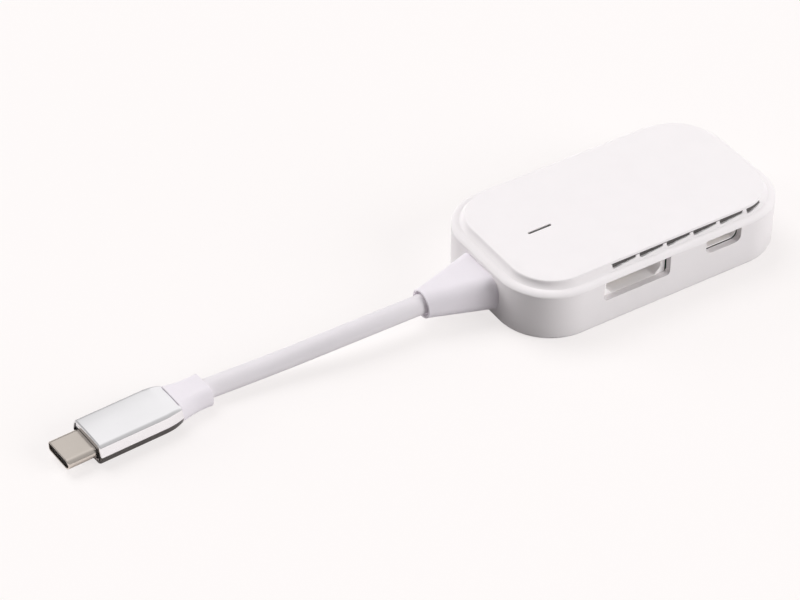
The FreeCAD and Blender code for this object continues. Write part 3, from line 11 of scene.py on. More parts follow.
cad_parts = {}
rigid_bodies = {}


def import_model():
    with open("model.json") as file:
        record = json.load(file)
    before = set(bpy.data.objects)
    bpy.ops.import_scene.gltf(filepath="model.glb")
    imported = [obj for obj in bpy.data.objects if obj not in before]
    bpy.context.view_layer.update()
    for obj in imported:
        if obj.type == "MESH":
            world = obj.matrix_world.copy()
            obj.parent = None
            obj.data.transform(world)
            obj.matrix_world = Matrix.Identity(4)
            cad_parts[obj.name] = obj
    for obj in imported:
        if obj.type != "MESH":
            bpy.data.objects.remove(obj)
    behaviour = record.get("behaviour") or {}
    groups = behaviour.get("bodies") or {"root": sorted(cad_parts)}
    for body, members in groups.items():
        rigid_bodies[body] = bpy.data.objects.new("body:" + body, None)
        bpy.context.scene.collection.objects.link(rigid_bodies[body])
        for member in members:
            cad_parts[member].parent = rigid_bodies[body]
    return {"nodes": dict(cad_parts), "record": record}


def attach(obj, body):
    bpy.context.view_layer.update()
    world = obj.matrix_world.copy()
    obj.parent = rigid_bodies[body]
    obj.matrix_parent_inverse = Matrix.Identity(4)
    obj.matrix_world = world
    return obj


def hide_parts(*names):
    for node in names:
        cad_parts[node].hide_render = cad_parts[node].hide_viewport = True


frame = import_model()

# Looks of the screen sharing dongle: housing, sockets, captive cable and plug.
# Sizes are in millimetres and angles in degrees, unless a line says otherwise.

LOG = logging.getLogger("dongle")

MM = 0.001
SAME_PLACE = 1e-7  # metres
CORNER_SEGMENTS = 24
STRAIGHT_LEFT = 0.01  # what a rounding of half the height leaves of the side
EDGE_SEGMENTS = 2
SMOOTH_ANGLE = 32.0
FACE_WEIGHT = 100
X_AXIS, Z_AXIS = Vector((1, 0, 0)), Vector((0, 0, 1))
FACING_END = Matrix(((0, 0, -1, 0), (-1, 0, 0, 0), (0, 1, 0, 0), (0, 0, 0, 1)))

WHITE = (1, 1, 1, 1)
CLOUD_SIZE, CLOUD_DETAIL, GRAIN_DETAIL = 6.0, 3.0, 4.0
GRAIN_SHARE = 0.35
RAMP_LOW, RAMP_HIGH = 0.3, 0.7
ROUGHNESS_SPREAD = 0.12
BRUSH_STRETCH = (0.03, 1.0, 1.0)
WEAVE_BANDS = 3.0

Mesh = bmesh.types.BMesh
Face = bmesh.types.BMFace
Vert = bmesh.types.BMVert
Piece = bpy.types.Object
Output = bpy.types.NodeSocket
Inputs = dict[str | int, object]
Pair = tuple[float, float]
Triple = tuple[float, float, float]
Profile = tuple[Pair, ...]


class Pattern(Enum):
    """The kinds of surface detail that the finishes have."""

    SATIN = "fine even spark texture of a mould"
    SOFT = "slightly uneven soft moulding"
    BRUSHED = "fine lines along the piece"
    ROLLED = "faint clouding of rolled or plated sheet"
    WOVEN = "glass weave under lacquer"


class Turn(Enum):
    """The way that an arc bends."""

    LEFT = 1
    RIGHT = -1


class Nodes:
    """The nodes of a material or of the world."""

    def __init__(self, tree: bpy.types.NodeTree) -> None:
        """Take a node tree."""
        self.tree = tree

    def feed(self, node: bpy.types.Node, inputs: Inputs) -> None:
        """Set or link a node's inputs.

        Args:
            node: The node.
            inputs: For each input its value, or the output that it is linked to.
        """
        for name, value in inputs.items():
            if isinstance(value, Output):
                self.tree.links.new(value, node.inputs[name])
            else:
                node.inputs[name].default_value = value

    def add(self, kind: str, output: str, inputs: Inputs | None = None, **settings: str) -> Output:
        """Add a node.

        Args:
            kind: Its type, without the word that all types start with.
            output: Name of the output that is wanted.
            inputs: For each input its value, or the output that it is linked to.
            **settings: The node's own settings.

        Returns:
            The wanted output.
        """
        node = self.tree.nodes.new(f"ShaderNode{kind}")
        for name, value in settings.items():
            setattr(node, name, value)
        self.feed(node, inputs or {})
        return node.outputs[output]

    def noise(self, place: Output, size: float, detail: float) -> Output:
        """A noise at some coordinates, with features of a size and octaves of detail."""
        scale = 1 / (size * MM)
        return self.add("TexNoise", "Fac", {"Vector": place, "Scale": scale, "Detail": detail})

    def seen_directly(self) -> Output:
        """1 for what is seen, also in a reflection or through clear plastic, else 0.

        Returns:
            The share.
        """
        share = self.add("LightPath", "Is Camera Ray")
        for kind in ("Is Glossy Ray", "Is Transmission Ray"):
            ray = self.add("LightPath", kind)
            share = self.add("Math", "Value", {0: share, 1: ray}, operation="MAXIMUM")
        return share


@dataclass(frozen=True)
class Finish:
    """One surface finish, made of nodes.

    Attributes:
        name: The finish's name.
        colour: Base colour, linear.
        roughness: Middle of the roughness.
        pattern: Kind of surface detail.
        metallic: 1 for metal.
        grain: Size of the finest detail.
        depth: Height of that detail.
        mottle: How far the colour wanders, as a share.
        coat: Strength of a clear coat.
        painted_glow: Painted light: a glow of its own colour, as a share of that colour, which
            lightens its shade without any lamp.
        slot_name: The record's slot, where it isn't the name.
    """

    name: str
    colour: Triple
    roughness: float
    pattern: Pattern
    metallic: float = 0.0
    grain: float = 0.12
    depth: float = 0.004
    mottle: float = 0.02
    coat: float = 0.0
    painted_glow: float = 0.0
    slot_name: str = ""

    @property
    def slot(self) -> str:
        """The record's slot that the finish belongs to."""
        return self.slot_name or self.name

    def material(self) -> bpy.types.Material:
        """The Blender material, made once.

        Returns:
            The material with its nodes.
        """
        name = f"{self.name}_finish"
        made = bpy.data.materials.get(name)
        if made is None:
            made = bpy.data.materials.new(name)
            made.use_nodes = True
            self.wire(Nodes(made.node_tree))
        return made

    def wire(self, nodes: Nodes) -> None:
        """Wire the nodes of the finish.

        Args:
            nodes: The material's nodes.
        """
        place = nodes.add("TexCoord", "Object")
        fine = self.fine_detail(nodes, place)
        broad = nodes.noise(place, CLOUD_SIZE, CLOUD_DETAIL)
        low, high = (self.roughness * (1 + way * ROUGHNESS_SPREAD) for way in (-1, 1))
        height = {"Height": fine, "Strength": 1.0, "Distance": self.depth * MM}
        nodes.feed(nodes.tree.nodes["Principled BSDF"], {
            "Base Color": self.wandering_colour(nodes, broad, fine),
            "Roughness": nodes.add("MapRange", "Result",
                                   {"Value": broad, "To Min": low, "To Max": high}),
            "Normal": nodes.add("Bump", "Normal", height),
            "Metallic": self.metallic,
            "Coat Weight": self.coat,
            # Painted light: the emission below shows the colour even where no lamp reaches.
            "Emission Color": (*self.colour, 1),
            "Emission Strength": self.painted_glow,
        })

    def fine_detail(self, nodes: Nodes, place: Output) -> Output:
        """The pattern's finest detail as a height.

        Args:
            nodes: The material's nodes.
            place: Coordinates on the piece.

        Returns:
            The height from 0 to 1.
        """
        scale = 1 / (self.grain * MM)
        if self.pattern is Pattern.SATIN:
            cells = {"Vector": place, "Scale": scale}
            return nodes.add("TexVoronoi", "Distance", cells, feature="SMOOTH_F1")
        if self.pattern is Pattern.WOVEN:
            bands = {"Vector": place, "Scale": scale / WEAVE_BANDS}
            warp, weft = (nodes.add("TexWave", "Fac", bands, bands_direction=way) for way in "XY")
            return nodes.add("Math", "Value", {0: warp, 1: weft}, operation="MAXIMUM")
        if self.pattern is Pattern.BRUSHED:
            place = nodes.add("Mapping", "Vector", {"Vector": place, "Scale": BRUSH_STRETCH})
        return nodes.noise(place, self.grain, GRAIN_DETAIL)

    def wandering_colour(self, nodes: Nodes, broad: Output, fine: Output) -> Output:
        """The colour, which wanders a little round its middle.

        Args:
            nodes: The material's nodes.
            broad: Slow noise.
            fine: Fine detail.

        Returns:
            The colour.
        """
        blend = nodes.add("Mix", "Result", {"Factor": GRAIN_SHARE, "A": broad, "B": fine})
        ramp = nodes.add("ValToRGB", "Color", {"Fac": blend})
        low, high = ramp.node.color_ramp.elements
        low.position, high.position = RAMP_LOW, RAMP_HIGH
        low.color = (*(share * (1 - self.mottle) for share in self.colour), 1)
        high.color = (*(min(1.0, share * (1 + self.mottle)) for share in self.colour), 1)
        return ramp


HOUSING = Finish("housing_plastic", (0.91, 0.87, 0.88), 0.42, Pattern.SATIN, grain=0.1,
                 depth=0.003, mottle=0.012)
# Painted light: the boot and the neck glow faintly in their own colour, which lightens their shaded
# sides in place of light scattered through the soft plastic.
BOOT = Finish("boot_plastic", (0.81, 0.765, 0.81), 0.5, Pattern.SOFT, grain=0.25, mottle=0.015,
              painted_glow=0.05)
JACKET = Finish("cable_jacket", (0.81, 0.77, 0.8), 0.48, Pattern.SOFT, grain=0.2, depth=0.005)
SLEEVE = Finish("sleeve_metal", (0.88, 0.865, 0.88), 0.14, Pattern.BRUSHED, metallic=1.0,
                grain=0.05, depth=0.0006)
# Painted shade: the sleeve's lower half is dark, standing in for the dark reflection of the shade
# beneath the plug.
SLEEVE_PAINTED_SHADE = Finish("sleeve_painted_shade_metal", (0.15, 0.135, 0.13), 0.25, Pattern.BRUSHED, metallic=1.0,
                     grain=0.05, depth=0.0006, mottle=0.15, slot_name="sleeve_metal")
TIP = Finish("tip_metal", (0.64, 0.58, 0.528), 0.22, Pattern.BRUSHED, metallic=1.0, grain=0.06,
             depth=0.001, mottle=0.05)
# Painted light: the socket shells and the video flange glow in their own colour, which lightens the
# shade inside the openings.
SOCKET = Finish("socket_metal", (0.9, 0.87, 0.87), 0.45, Pattern.ROLLED, metallic=0.2, grain=0.3,
                depth=0.001, mottle=0.04, painted_glow=0.12)
# Painted shade: a dark sheet with a woven texture stands in the slits, where there is only the
# shade of the hollow inside.
SLIT_SHADE = Finish("slit_shade_sheet", (0.085, 0.08, 0.078), 0.6, Pattern.WOVEN, grain=0.4, depth=0.02,
                mottle=0.35, slot_name="dark_plastic")
DARK = Finish("dark_plastic", (0.02, 0.02, 0.022), 0.45, Pattern.SATIN, grain=0.08, depth=0.003,
              mottle=0.2)
CLEAR = Finish("clear_plastic", (0.045, 0.04, 0.038), 0.35, Pattern.SOFT, grain=0.3, depth=0.002,
               coat=0.3)
FINISHES = {finish.name: finish for finish in (
    HOUSING, BOOT, JACKET, SLEEVE, TIP, SOCKET, DARK, CLEAR,
    Finish("contact_gold", (0.8, 0.58, 0.22), 0.25, Pattern.ROLLED, metallic=1.0, grain=0.1,
           depth=0.0005),
    Finish("board_laminate", (0.012, 0.09, 0.04), 0.35, Pattern.WOVEN, grain=0.5, mottle=0.25,
           coat=0.4),
    Finish("chip_plastic", (0.02, 0.02, 0.021), 0.6, Pattern.SATIN, grain=0.09, mottle=0.2),
    Finish("shield_metal", (0.66, 0.66, 0.63), 0.35, Pattern.ROLLED, metallic=1.0, grain=0.4,
           depth=0.001, mottle=0.05),
    Finish("heat_pad", (0.24, 0.33, 0.45), 0.75, Pattern.SOFT, grain=0.3, depth=0.02, mottle=0.08),
    Finish("spreader_metal", (0.72, 0.72, 0.73), 0.38, Pattern.BRUSHED, metallic=1.0, grain=0.08,
           depth=0.001),
    Finish("screw_steel", (0.5, 0.5, 0.51), 0.3, Pattern.ROLLED, metallic=1.0, grain=0.15,
           depth=0.001),
    Finish("aerial_film", (0.09, 0.05, 0.02), 0.4, Pattern.WOVEN, grain=0.6, depth=0.003,
           mottle=0.3, coat=0.3),
    Finish("lead_jacket", (0.02, 0.02, 0.022), 0.4, Pattern.SOFT, grain=0.15, depth=0.003,
           mottle=0.2),
    Finish("ceramic", (0.4, 0.28, 0.18), 0.5, Pattern.SOFT, grain=0.1, depth=0.003, mottle=0.15),
    Finish("wire_jacket", (0.5, 0.02, 0.015), 0.4, Pattern.SOFT, grain=0.1, depth=0.003,
           mottle=0.1),
)}


def arc(start: Pair, end: Pair, radius: float, turn: Turn, count: int) -> Profile:
    """Points along an arc from start to end, without the start.

    Args:
        start: First point.
        end: Last point.
        radius: Radius of the arc.
        turn: The way that it bends.
        count: How many points.

    Returns:
        The points, the last of which is end.
    """
    first, last = Vector(start), Vector(end)
    chord = last - first
    rise = math.sqrt(radius ** 2 - (chord.length / 2) ** 2)
    side = Vector((-chord.y, chord.x)).normalized() * turn.value
    centre = (first + last) / 2 + side * rise
    spoke = first - centre
    angle = spoke.angle_signed(last - centre)
    turns = (Matrix.Rotation(-angle * step / count, 2) for step in range(1, count + 1))
    return tuple(tuple(centre + turned @ spoke) for turned in turns)


def at(x: float, y: float, z: float) -> Matrix:
    """A move without a turn."""
    return Matrix.Translation(Vector((x, y, z)) * MM)


def on_wall(x: float, y: float, z: float) -> Matrix:
    """The place of a plate that faces -Y, its own X along the wall and its own Y up."""
    return at(x, y, z) @ Matrix.Rotation(math.pi / 2, 4, "X")


def on_end(x: float, z: float) -> Matrix:
    """The place of a plate on the middle line that faces -X, its own X along -Y and its Y up."""
    return at(x, 0, z) @ FACING_END


def link(name: str, data: bpy.types.ID) -> Piece:
    """A new object in the scene that holds some data.

    Args:
        name: Its name.
        data: The mesh, curve, lamp or camera.

    Returns:
        The object.
    """
    made = bpy.data.objects.new(name, data)
    bpy.context.scene.collection.objects.link(made)
    return made


def place(mesh: Mesh, where: Matrix) -> None:
    """Move everything in a mesh."""
    bmesh.ops.transform(mesh, matrix=where, verts=mesh.verts[:])


def round_corners(mesh: Mesh, corners: list[Vert], radius: float, segments: int) -> Face:
    """Round corners of a mesh that is one flat face.

    Args:
        mesh: The mesh.
        corners: The corners.
        radius: Radius of the rounding.
        segments: Edges of each corner.

    Returns:
        The face.
    """
    if radius > 0:
        bmesh.ops.bevel(mesh, geom=corners, offset=radius * MM, offset_type="OFFSET",
                        segments=segments, profile=0.5, affect="VERTICES", material=-1,
                        clamp_overlap=False)
    return mesh.faces[:][0]


def rounded_plate(width: float, height: float, radius: float = 0.0,
                  segments: int = CORNER_SEGMENTS) -> tuple[Mesh, Face]:
    """Start a mesh with one flat face about the origin, facing up.

    Args:
        width: Size along X.
        height: Size along Y.
        radius: Radius of the corners.
        segments: Edges of each corner.

    Returns:
        The mesh and its face.
    """
    mesh = bmesh.new()
    bmesh.ops.create_grid(mesh, x_segments=1, y_segments=1, size=0.5)
    bmesh.ops.scale(mesh, vec=(width * MM, height * MM, 1), verts=mesh.verts[:])
    return mesh, round_corners(mesh, mesh.verts[:], radius, segments)


def raise_plate(mesh: Mesh, plate: Face, rise: float) -> Face:
    """Raise a plate into a closed block along its normal.

    Args:
        mesh: The mesh that holds it.
        plate: The face, which becomes the block's back.
        rise: Height of the block.

    Returns:
        The new face at the raised end.
    """
    normal = plate.normal.copy()
    made = bmesh.ops.extrude_face_region(mesh, geom=[plate], use_keep_orig=True)["geom"]
    front = next(item for item in made if isinstance(item, Face))
    bmesh.ops.translate(mesh, vec=normal * rise * MM, verts=front.verts[:])
    plate.normal_update()
    if plate.normal.dot(normal) > 0:
        plate.normal_flip()
    return front


def rounded_block(size: Triple, radius: float = 0.0,
                  segments: int = CORNER_SEGMENTS) -> tuple[Mesh, Face, Face]:
    """Start a mesh with a closed block on the origin; give it with its back and its front."""
    mesh, back = rounded_plate(size[0], size[1], radius, segments)
    return mesh, back, raise_plate(mesh, back, size[2])


def split_sides(face: Face) -> list[Vert]:
    """Give each upright side of a rectangle a point in its middle.

    Args:
        face: The rectangle.

    Returns:
        The two points.
    """
    sides = [edge for edge in face.edges
             if abs(edge.verts[0].co.x - edge.verts[1].co.x) < SAME_PLACE]
    return [bmesh.utils.edge_split(edge, edge.verts[0], 0.5)[1] for edge in sides]


def slice_across(mesh: Mesh, axis: Vector, start: float, length: float, count: int) -> None:
    """Give a mesh edges where planes cross it, so that it can bend there.

    Args:
        mesh: The mesh.
        axis: Direction that the planes face.
        start: Where the slices begin along it.
        length: How far they reach.
        count: How many slices.
    """
    for step in range(1, count):
        spot = start + length * step / count
        bmesh.ops.bisect_plane(mesh, geom=mesh.verts[:] + mesh.edges[:] + mesh.faces[:],
                               plane_co=axis * spot * MM, plane_no=axis)


def follow(mesh: Mesh, face: Face, profile: Profile) -> None:
    """Draw a face in along a profile of rings.

    Args:
        mesh: The mesh that holds the face.
        face: The face, which ends up as the last ring's cap.
        profile: How far in from the first ring, and how far out along the normal.
    """
    inset, depth = 0.0, 0.0
    for next_inset, next_depth in profile:
        bmesh.ops.inset_region(mesh, faces=[face], thickness=(next_inset - inset) * MM,
                               depth=(next_depth - depth) * MM, use_even_offset=True,
                               use_boundary=True)
        inset, depth = next_inset, next_depth


def add_mesh(mesh: Mesh, part: Mesh) -> None:
    """Add a part to a mesh.

    Args:
        mesh: The mesh that takes it.
        part: The part, which is freed.
    """
    data = bpy.data.meshes.new("part")
    part.to_mesh(data)
    part.free()
    mesh.from_mesh(data)
    bpy.data.meshes.remove(data)


def solid(mesh: Mesh, name: str, where: Matrix = Matrix()) -> Piece:
    """Turn a mesh into a linked piece with outward faces.

    Args:
        mesh: The mesh, which is freed.
        name: Name of the piece.
        where: Its place, which goes into its mesh.

    Returns:
        The piece.
    """
    place(mesh, where)
    bmesh.ops.remove_doubles(mesh, verts=mesh.verts[:], dist=SAME_PLACE)
    bmesh.ops.recalc_face_normals(mesh, faces=mesh.faces[:])
    data = bpy.data.meshes.new(name)
    mesh.to_mesh(data)
    mesh.free()
    return link(name, data)


def cutter(size: Triple, radius: float, where: Matrix, segments: int = 8) -> Piece:
    """A closed block to cut with, from its size, its corners' round and the place of its back."""
    mesh, _, _ = rounded_block(size, radius, segments)
    return solid(mesh, "cutter", where)


def bake(piece: Piece) -> None:
    """Apply all modifiers of a piece.

    Args:
        piece: The piece.
    """
    graph = bpy.context.evaluated_depsgraph_get()
    made = bpy.data.meshes.new_from_object(piece.evaluated_get(graph))
    piece.modifiers.clear()
    piece.data = made


def cut_away(piece: Piece, cutters: list[Piece]) -> Piece:
    """Cut shapes out of a piece.

    Args:
        piece: The piece.
        cutters: Closed shapes, which are deleted.

    Returns:
        The piece.
    """
    for shape in cutters:
        step = piece.modifiers.new("cut", "BOOLEAN")
        step.operation = "DIFFERENCE"
        step.solver = "EXACT"
        step.object = shape
    bpy.context.view_layer.update()
    bake(piece)
    for shape in cutters:
        bpy.data.objects.remove(shape)
    return piece


def soften(piece: Piece, width: float = 0.0, angle: float = 40.0) -> Piece:
    """Round the sharp edges a little and shade the rest smooth.

    Args:
        piece: The piece.
        width: Width of the rounding, or 0 for the shading alone.
        angle: Smallest angle that counts as sharp.

    Returns:
        The piece.
    """
    if width > 0:
        edges = piece.modifiers.new("edges", "BEVEL")
        edges.width = width * MM
        edges.segments = EDGE_SEGMENTS
        edges.limit_method = "ANGLE"
        edges.angle_limit = math.radians(angle)
        bake(piece)
    piece.data.polygons.foreach_set("use_smooth", [True] * len(piece.data.polygons))
    piece.data.set_sharp_from_angle(angle=math.radians(SMOOTH_ANGLE))
    shade = piece.modifiers.new("shading", "WEIGHTED_NORMAL")
    shade.keep_sharp = True
    shade.weight = FACE_WEIGHT
    bake(piece)
    return piece


def dress(piece: Piece, finish: Finish, *nodes: str) -> Piece:
    """Give a piece its finish, and let it stand for CAD nodes.

    Args:
        piece: The piece.
        finish: Its finish.
        *nodes: The CAD nodes that it replaces.

    Returns:
        The piece.
    """
    piece.data.materials.clear()
    piece.data.materials.append(finish.material())
    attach(piece, "root")
    if nodes:
        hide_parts(*nodes)
    return piece


@dataclass(frozen=True)
class Lamp:
    """A soft lamp far away, which polished metal doesn't mirror.

    Attributes:
        name: Its name.
        strength: Its strength.
        towards: Direction that it stands in, from the object.
        spread: How wide it looks.
    """

    name: str
    strength: float
    towards: Triple
    spread: float

    def hang(self) -> None:
        """Put the lamp in the scene."""
        data = bpy.data.lights.new(self.name, "SUN")
        data.energy = self.strength
        data.angle = math.radians(self.spread)
        lamp = link(self.name, data)
        lamp.rotation_euler = Vector(self.towards).to_track_quat("Z", "Y").to_euler()
        lamp.visible_glossy = False


@dataclass(frozen=True)
class Dimming:
    """A side of the world that metal mirrors dimmer.

    Attributes:
        axis: Direction that the limits are measured along.
        dim_to: Limit up to which it is dim.
        white_from: Limit from which it is white.
        strength: The world's strength where it is dim.
    """

    axis: Triple
    dim_to: float
    white_from: float
    strength: float


@dataclass
class Studio:
    """The floor, the soft lights and the camera at the photograph's angle."""

    azimuth: float = -32.22
    elevation: float = 39.69
    aim: Triple = (-48.204, 9.762, 0.0)
    distance: float = 573.04
    lens: float = 121.5
    sensor: float = 36.0
    floor_half: float = 4.0  # metres
    floor_white: Triple = (0.987, 0.952, 0.945)
    floor_bounce: Triple = (0.42, 0.41, 0.41)
    shadow_share: float = 0.25
    fill: float = 0.135
    over_camera: Dimming = Dimming((0, 1, 0), -0.5, 0.2, 0.6)
    horizon: Dimming = Dimming((1.5, 0, 1), 0.93, 1.1, 0.5)
    lamps: tuple[Lamp, ...] = (
        Lamp("front_lamp", 2.28, (0.58, -0.735, 0.355), 40.0),
        Lamp("high_lamp", 1.85, (-0.1, 0.5, 0.86), 40.0),
        Lamp("left_lamp", 1.35, (-0.6, 0.74, 0.3), 30.0),
    )

    def build(self) -> None:
        """Make everything round the object."""
        self.camera()
        self.floor()
        self.world()
        for lamp in self.lamps:
            lamp.hang()
        bpy.context.scene.view_settings.view_transform = "Standard"

    def camera(self) -> None:
        """Place the camera where the photograph was taken from."""
        azimuth, elevation = math.radians(self.azimuth), math.radians(self.elevation)
        back = Vector((math.sin(azimuth) * math.cos(elevation),
                       -math.cos(azimuth) * math.cos(elevation),
                       math.sin(elevation)))
        data = bpy.data.cameras.new("camera")
        data.lens = self.lens
        data.sensor_width = self.sensor
        data.clip_start = 0.01
        data.clip_end = 20.0
        eye = link("camera", data)
        eye.location = (Vector(self.aim) + back * self.distance) * MM
        eye.rotation_euler = back.to_track_quat("Z", "Y").to_euler()
        bpy.context.scene.camera = eye

    def floor(self) -> None:
        """A pale floor that keeps the object's shadow and throws little light back up."""
        grid = bmesh.new()
        bmesh.ops.create_grid(grid, x_segments=1, y_segments=1, size=self.floor_half)
        plane = solid(grid, "floor")
        material = bpy.data.materials.new("floor")
        material.use_nodes = True
        nodes = Nodes(material.node_tree)
        nodes.tree.nodes.remove(nodes.tree.nodes["Principled BSDF"])
        white = {"Color": (*self.floor_white, 1)}
        bounce = {"Color": (*self.floor_bounce, 1)}
        shade = {"Value": nodes.add("LightPath", "Is Camera Ray"),
                 "To Min": 1.0, "To Max": self.shadow_share}
        shaded = nodes.add("MixShader", "Shader", {
            "Fac": nodes.add("MapRange", "Result", shade),
            1: nodes.add("Emission", "Emission", white),
            2: nodes.add("BsdfDiffuse", "BSDF", white),
        })
        surface = nodes.add("MixShader", "Shader", {
            "Fac": nodes.seen_directly(),
            1: nodes.add("BsdfDiffuse", "BSDF", bounce),
            2: shaded,
        })
        nodes.feed(nodes.tree.nodes["Material Output"], {"Surface": surface})
        plane.data.materials.append(material)

    def world(self) -> None:
        """An even pale world, which metal sees dimmer over the camera and near the horizon."""
        world = bpy.data.worlds.new("world")
        world.use_nodes = True
        nodes = Nodes(world.node_tree)
        direction = nodes.add("TexCoord", "Generated")
        strengths = {}
        for number, side in enumerate((self.over_camera, self.horizon)):
            along = nodes.add("VectorMath", "Value", {0: direction, 1: side.axis},
                              operation="DOT_PRODUCT")
            limits = {"Value": along, "From Min": side.dim_to, "From Max": side.white_from,
                      "To Min": side.strength}
            strengths[number] = nodes.add("MapRange", "Result", limits)
        strength = nodes.add("Math", "Value", strengths, operation="MINIMUM")
        light = nodes.tree.nodes["Background"]
        nodes.feed(light, {"Color": WHITE, "Strength": self.fill})
        surface = nodes.add("MixShader", "Shader", {
            "Fac": nodes.seen_directly(),
            1: light.outputs["Background"],
            2: nodes.add("Background", "Background", {"Color": WHITE, "Strength": strength}),
        })
        nodes.feed(nodes.tree.nodes["World Output"], {"Surface": surface})
        bpy.context.scene.world = world


@dataclass
class Housing:
    """The two-part housing with its openings, a dark sheet of painted shade in its slits, and its
    light pipe.
    """

    length: float = 69.0
    width: float = 40.0
    corner: float = 12.5
    parting: float = 11.2
    seam: float = 0.07
    wall: float = 1.5
    top: float = 13.7
    base_round: float = 1.0
    base_sheet: float = 1.5
    rim_edge: float = 0.1
    tub_edge: float = 0.12
    cover_foot: float = 0.05
    cover_edge: float = 0.06
    cover_angle: float = 45.0
    skirt: float = 0.4
    ceiling: float = 12.4
    shoulder: Pair = (1.75, 0.85)
    shoulder_round: float = 2.1
    step: Pair = (2.65, 2.1)
    step_round: float = 1.8
    crest: Pair = (2.95, 2.5)
    crest_round: float = 0.5
    top_rings: Pair = (4.2, 9.0)
    slit_count: int = 5
    slit_start: float = -13.2
    slit_pitch: float = 7.0
    slit_length: float = 6.1
    slit_low: float = 12.25
    slit_high: float = 13.15
    slit_corner: float = 0.3
    slit_inset: float = 2.1
    slit_depth: float = 1.8
    slit_taper: float = 0.48
    slit_slices: int = 8
    slit_turn: float = 25.0
    turn_steps: int = 12
    # Painted shade: where the dark sheet in the slits stands and how thick it is.
    shade_sheet_inset: float = 0.5
    shade_sheet_thickness: float = 0.15
    shade_sheet_margin: float = 0.1
    cut_depth: float = 3.0
    cut_back: float = 2.0
    video_width: float = 17.0
    video_low: float = 6.55
    video_corner: float = 0.8
    power_width: float = 9.24
    power_low: float = 7.72
    power_corner: float = 1.5
    hole: Pair = (14.3, 8.8)
    hole_corner: float = 3.9
    hole_z: float = 6.05
    indicator_x: float = -19.55
    indicator: Pair = (5.9, 0.75)
    indicator_low: float = 11.9
    indicator_cut: float = 4.0
    window_gap: float = 0.04
    window_sink: float = 0.3
    window_edge: Profile = ((0.08, 0.05), (0.2, 0.08))
    pipe_foot: float = 7.25
    pipe_flange: Triple = (7.9, 3.3, 0.9)
    pipe_flange_corner: float = 0.4
    pipe_flange_low: float = 11.45

    @property
    def slit_height(self) -> float:
        """Height of a slit at its wide end."""
        return self.slit_high - self.slit_low

    @property
    def slit_middle(self) -> float:
        """How high the middle of the slits is."""
        return (self.slit_low + self.slit_high) / 2

    @property
    def corner_centre(self) -> Vector:
        """Centre of the front right corner's round."""
        return Vector((self.length / 2 - self.corner, self.corner - self.width / 2, 0))

    def build(self) -> list[Piece]:
        """Make the tub, the cover, the dark sheet of painted shade in the slits and the light pipe.
        """
        return [self.tub(), self.cover(), self.slit_shade_sheet(), self.light_pipe()]

    def tub(self) -> Piece:
        """The base with its round lower edge, hollow and wall openings.

        Returns:
            The base.
        """
        low, seam, wall = self.base_round, self.seam, self.wall
        size = (self.length, self.width, self.parting - low - seam)
        mesh, back, rim = rounded_block(size, self.corner)
        follow(mesh, rim, ((seam, seam), (wall - self.rim_edge, seam), (wall, seam - self.rim_edge),
                           (wall, self.base_sheet - self.parting + seam)))
        follow(mesh, back, arc((0, 0), (low, low), low, Turn.RIGHT, count=8))
        made = cut_away(solid(mesh, "housing_base", at(0, 0, low)), [
            self.notch(VideoSocket.x, self.video_width, self.video_low, self.video_corner),
            self.notch(PowerSocket.x, self.power_width, self.power_low, self.power_corner),
            cutter((*self.hole, self.cut_depth), self.hole_corner,
                   on_end(self.cut_back - self.length / 2, self.hole_z), segments=12),
        ])
        return dress(soften(made, self.tub_edge), HOUSING, "bottom_shell")

    def notch(self, x: float, width: float, low: float, corner: float) -> Piece:
        """A cutter for a socket opening, from its lower side up to the parting line."""
        size = (width, 2 * (self.parting - low), self.cut_depth)
        return cutter(size, corner, on_wall(x, self.cut_back - self.width / 2, self.parting))

    def cover(self) -> Piece:
        """The cover with shoulder, step, raised top, cooling slits and indicator slit.

        Returns:
            The cover.
        """
        foot, seam, wall = self.cover_foot, self.seam, self.wall
        mesh, back, top = rounded_block((self.length, self.width, foot), self.corner)
        shoulder, step, crest = (
            (inset, rise - seam) for inset, rise in (self.shoulder, self.step, self.crest))
        outer = arc((0, foot), shoulder, self.shoulder_round, Turn.RIGHT, count=10)
        outer += arc(shoulder, step, self.step_round, Turn.LEFT, count=8)
        outer += arc(step, crest, self.crest_round, Turn.RIGHT, count=4)
        outer += tuple((inset, crest[1]) for inset in self.top_rings)
        follow(mesh, top, tuple((inset, rise - foot) for inset, rise in outer))
        ceiling = self.parting + seam - self.ceiling
        follow(mesh, back, ((seam, seam), (wall, seam), (wall, seam - self.skirt),
                            (crest[0], ceiling), (self.top_rings[-1], ceiling)))
        made = solid(mesh, "housing_cover", at(0, 0, self.parting + seam))
        indicator = cutter((*self.indicator, self.indicator_cut),
                           self.indicator[1] / 2 - STRAIGHT_LEFT,
                           at(self.indicator_x, 0, self.indicator_low))
        cut_away(made, self.slit_cutters() + [indicator])
        return dress(soften(made, self.cover_edge, self.cover_angle), HOUSING, "top_shell")

    def slit_cutters(self) -> list[Piece]:
        """Cutters for the straight slits and for the one round the corner.

        Returns:
            The cutters.
        """
        cutters = []
        length, height = self.slit_length, self.slit_height
        back = self.slit_inset + self.slit_depth - self.width / 2
        for number in range(self.slit_count):
            size = (length, height, self.slit_depth)
            mesh, _, _ = rounded_block(size, self.slit_corner, segments=4)
            slice_across(mesh, X_AXIS, -length / 2, length, self.slit_slices)
            for vert in mesh.verts:
                share = vert.co.x / (length * MM) + 0.5
                vert.co.y += (height / 2 * MM - vert.co.y) * self.slit_taper * share
            middle = self.slit_start + length / 2 + number * self.slit_pitch
            cutters.append(solid(mesh, "slit_cut", on_wall(middle, back, self.slit_middle)))
        mesh = self.corner_sweep(self.slit_inset, self.slit_depth, height)
        for vert in mesh.verts:
            spoke = vert.co - self.corner_centre * MM
            share = math.degrees(math.atan2(spoke.x, -spoke.y)) / self.slit_turn
            if vert.co.z < self.slit_middle * MM:
                vert.co.z += height * MM * self.slit_taper * share
        cutters.append(solid(mesh, "slit_cut"))
        return cutters

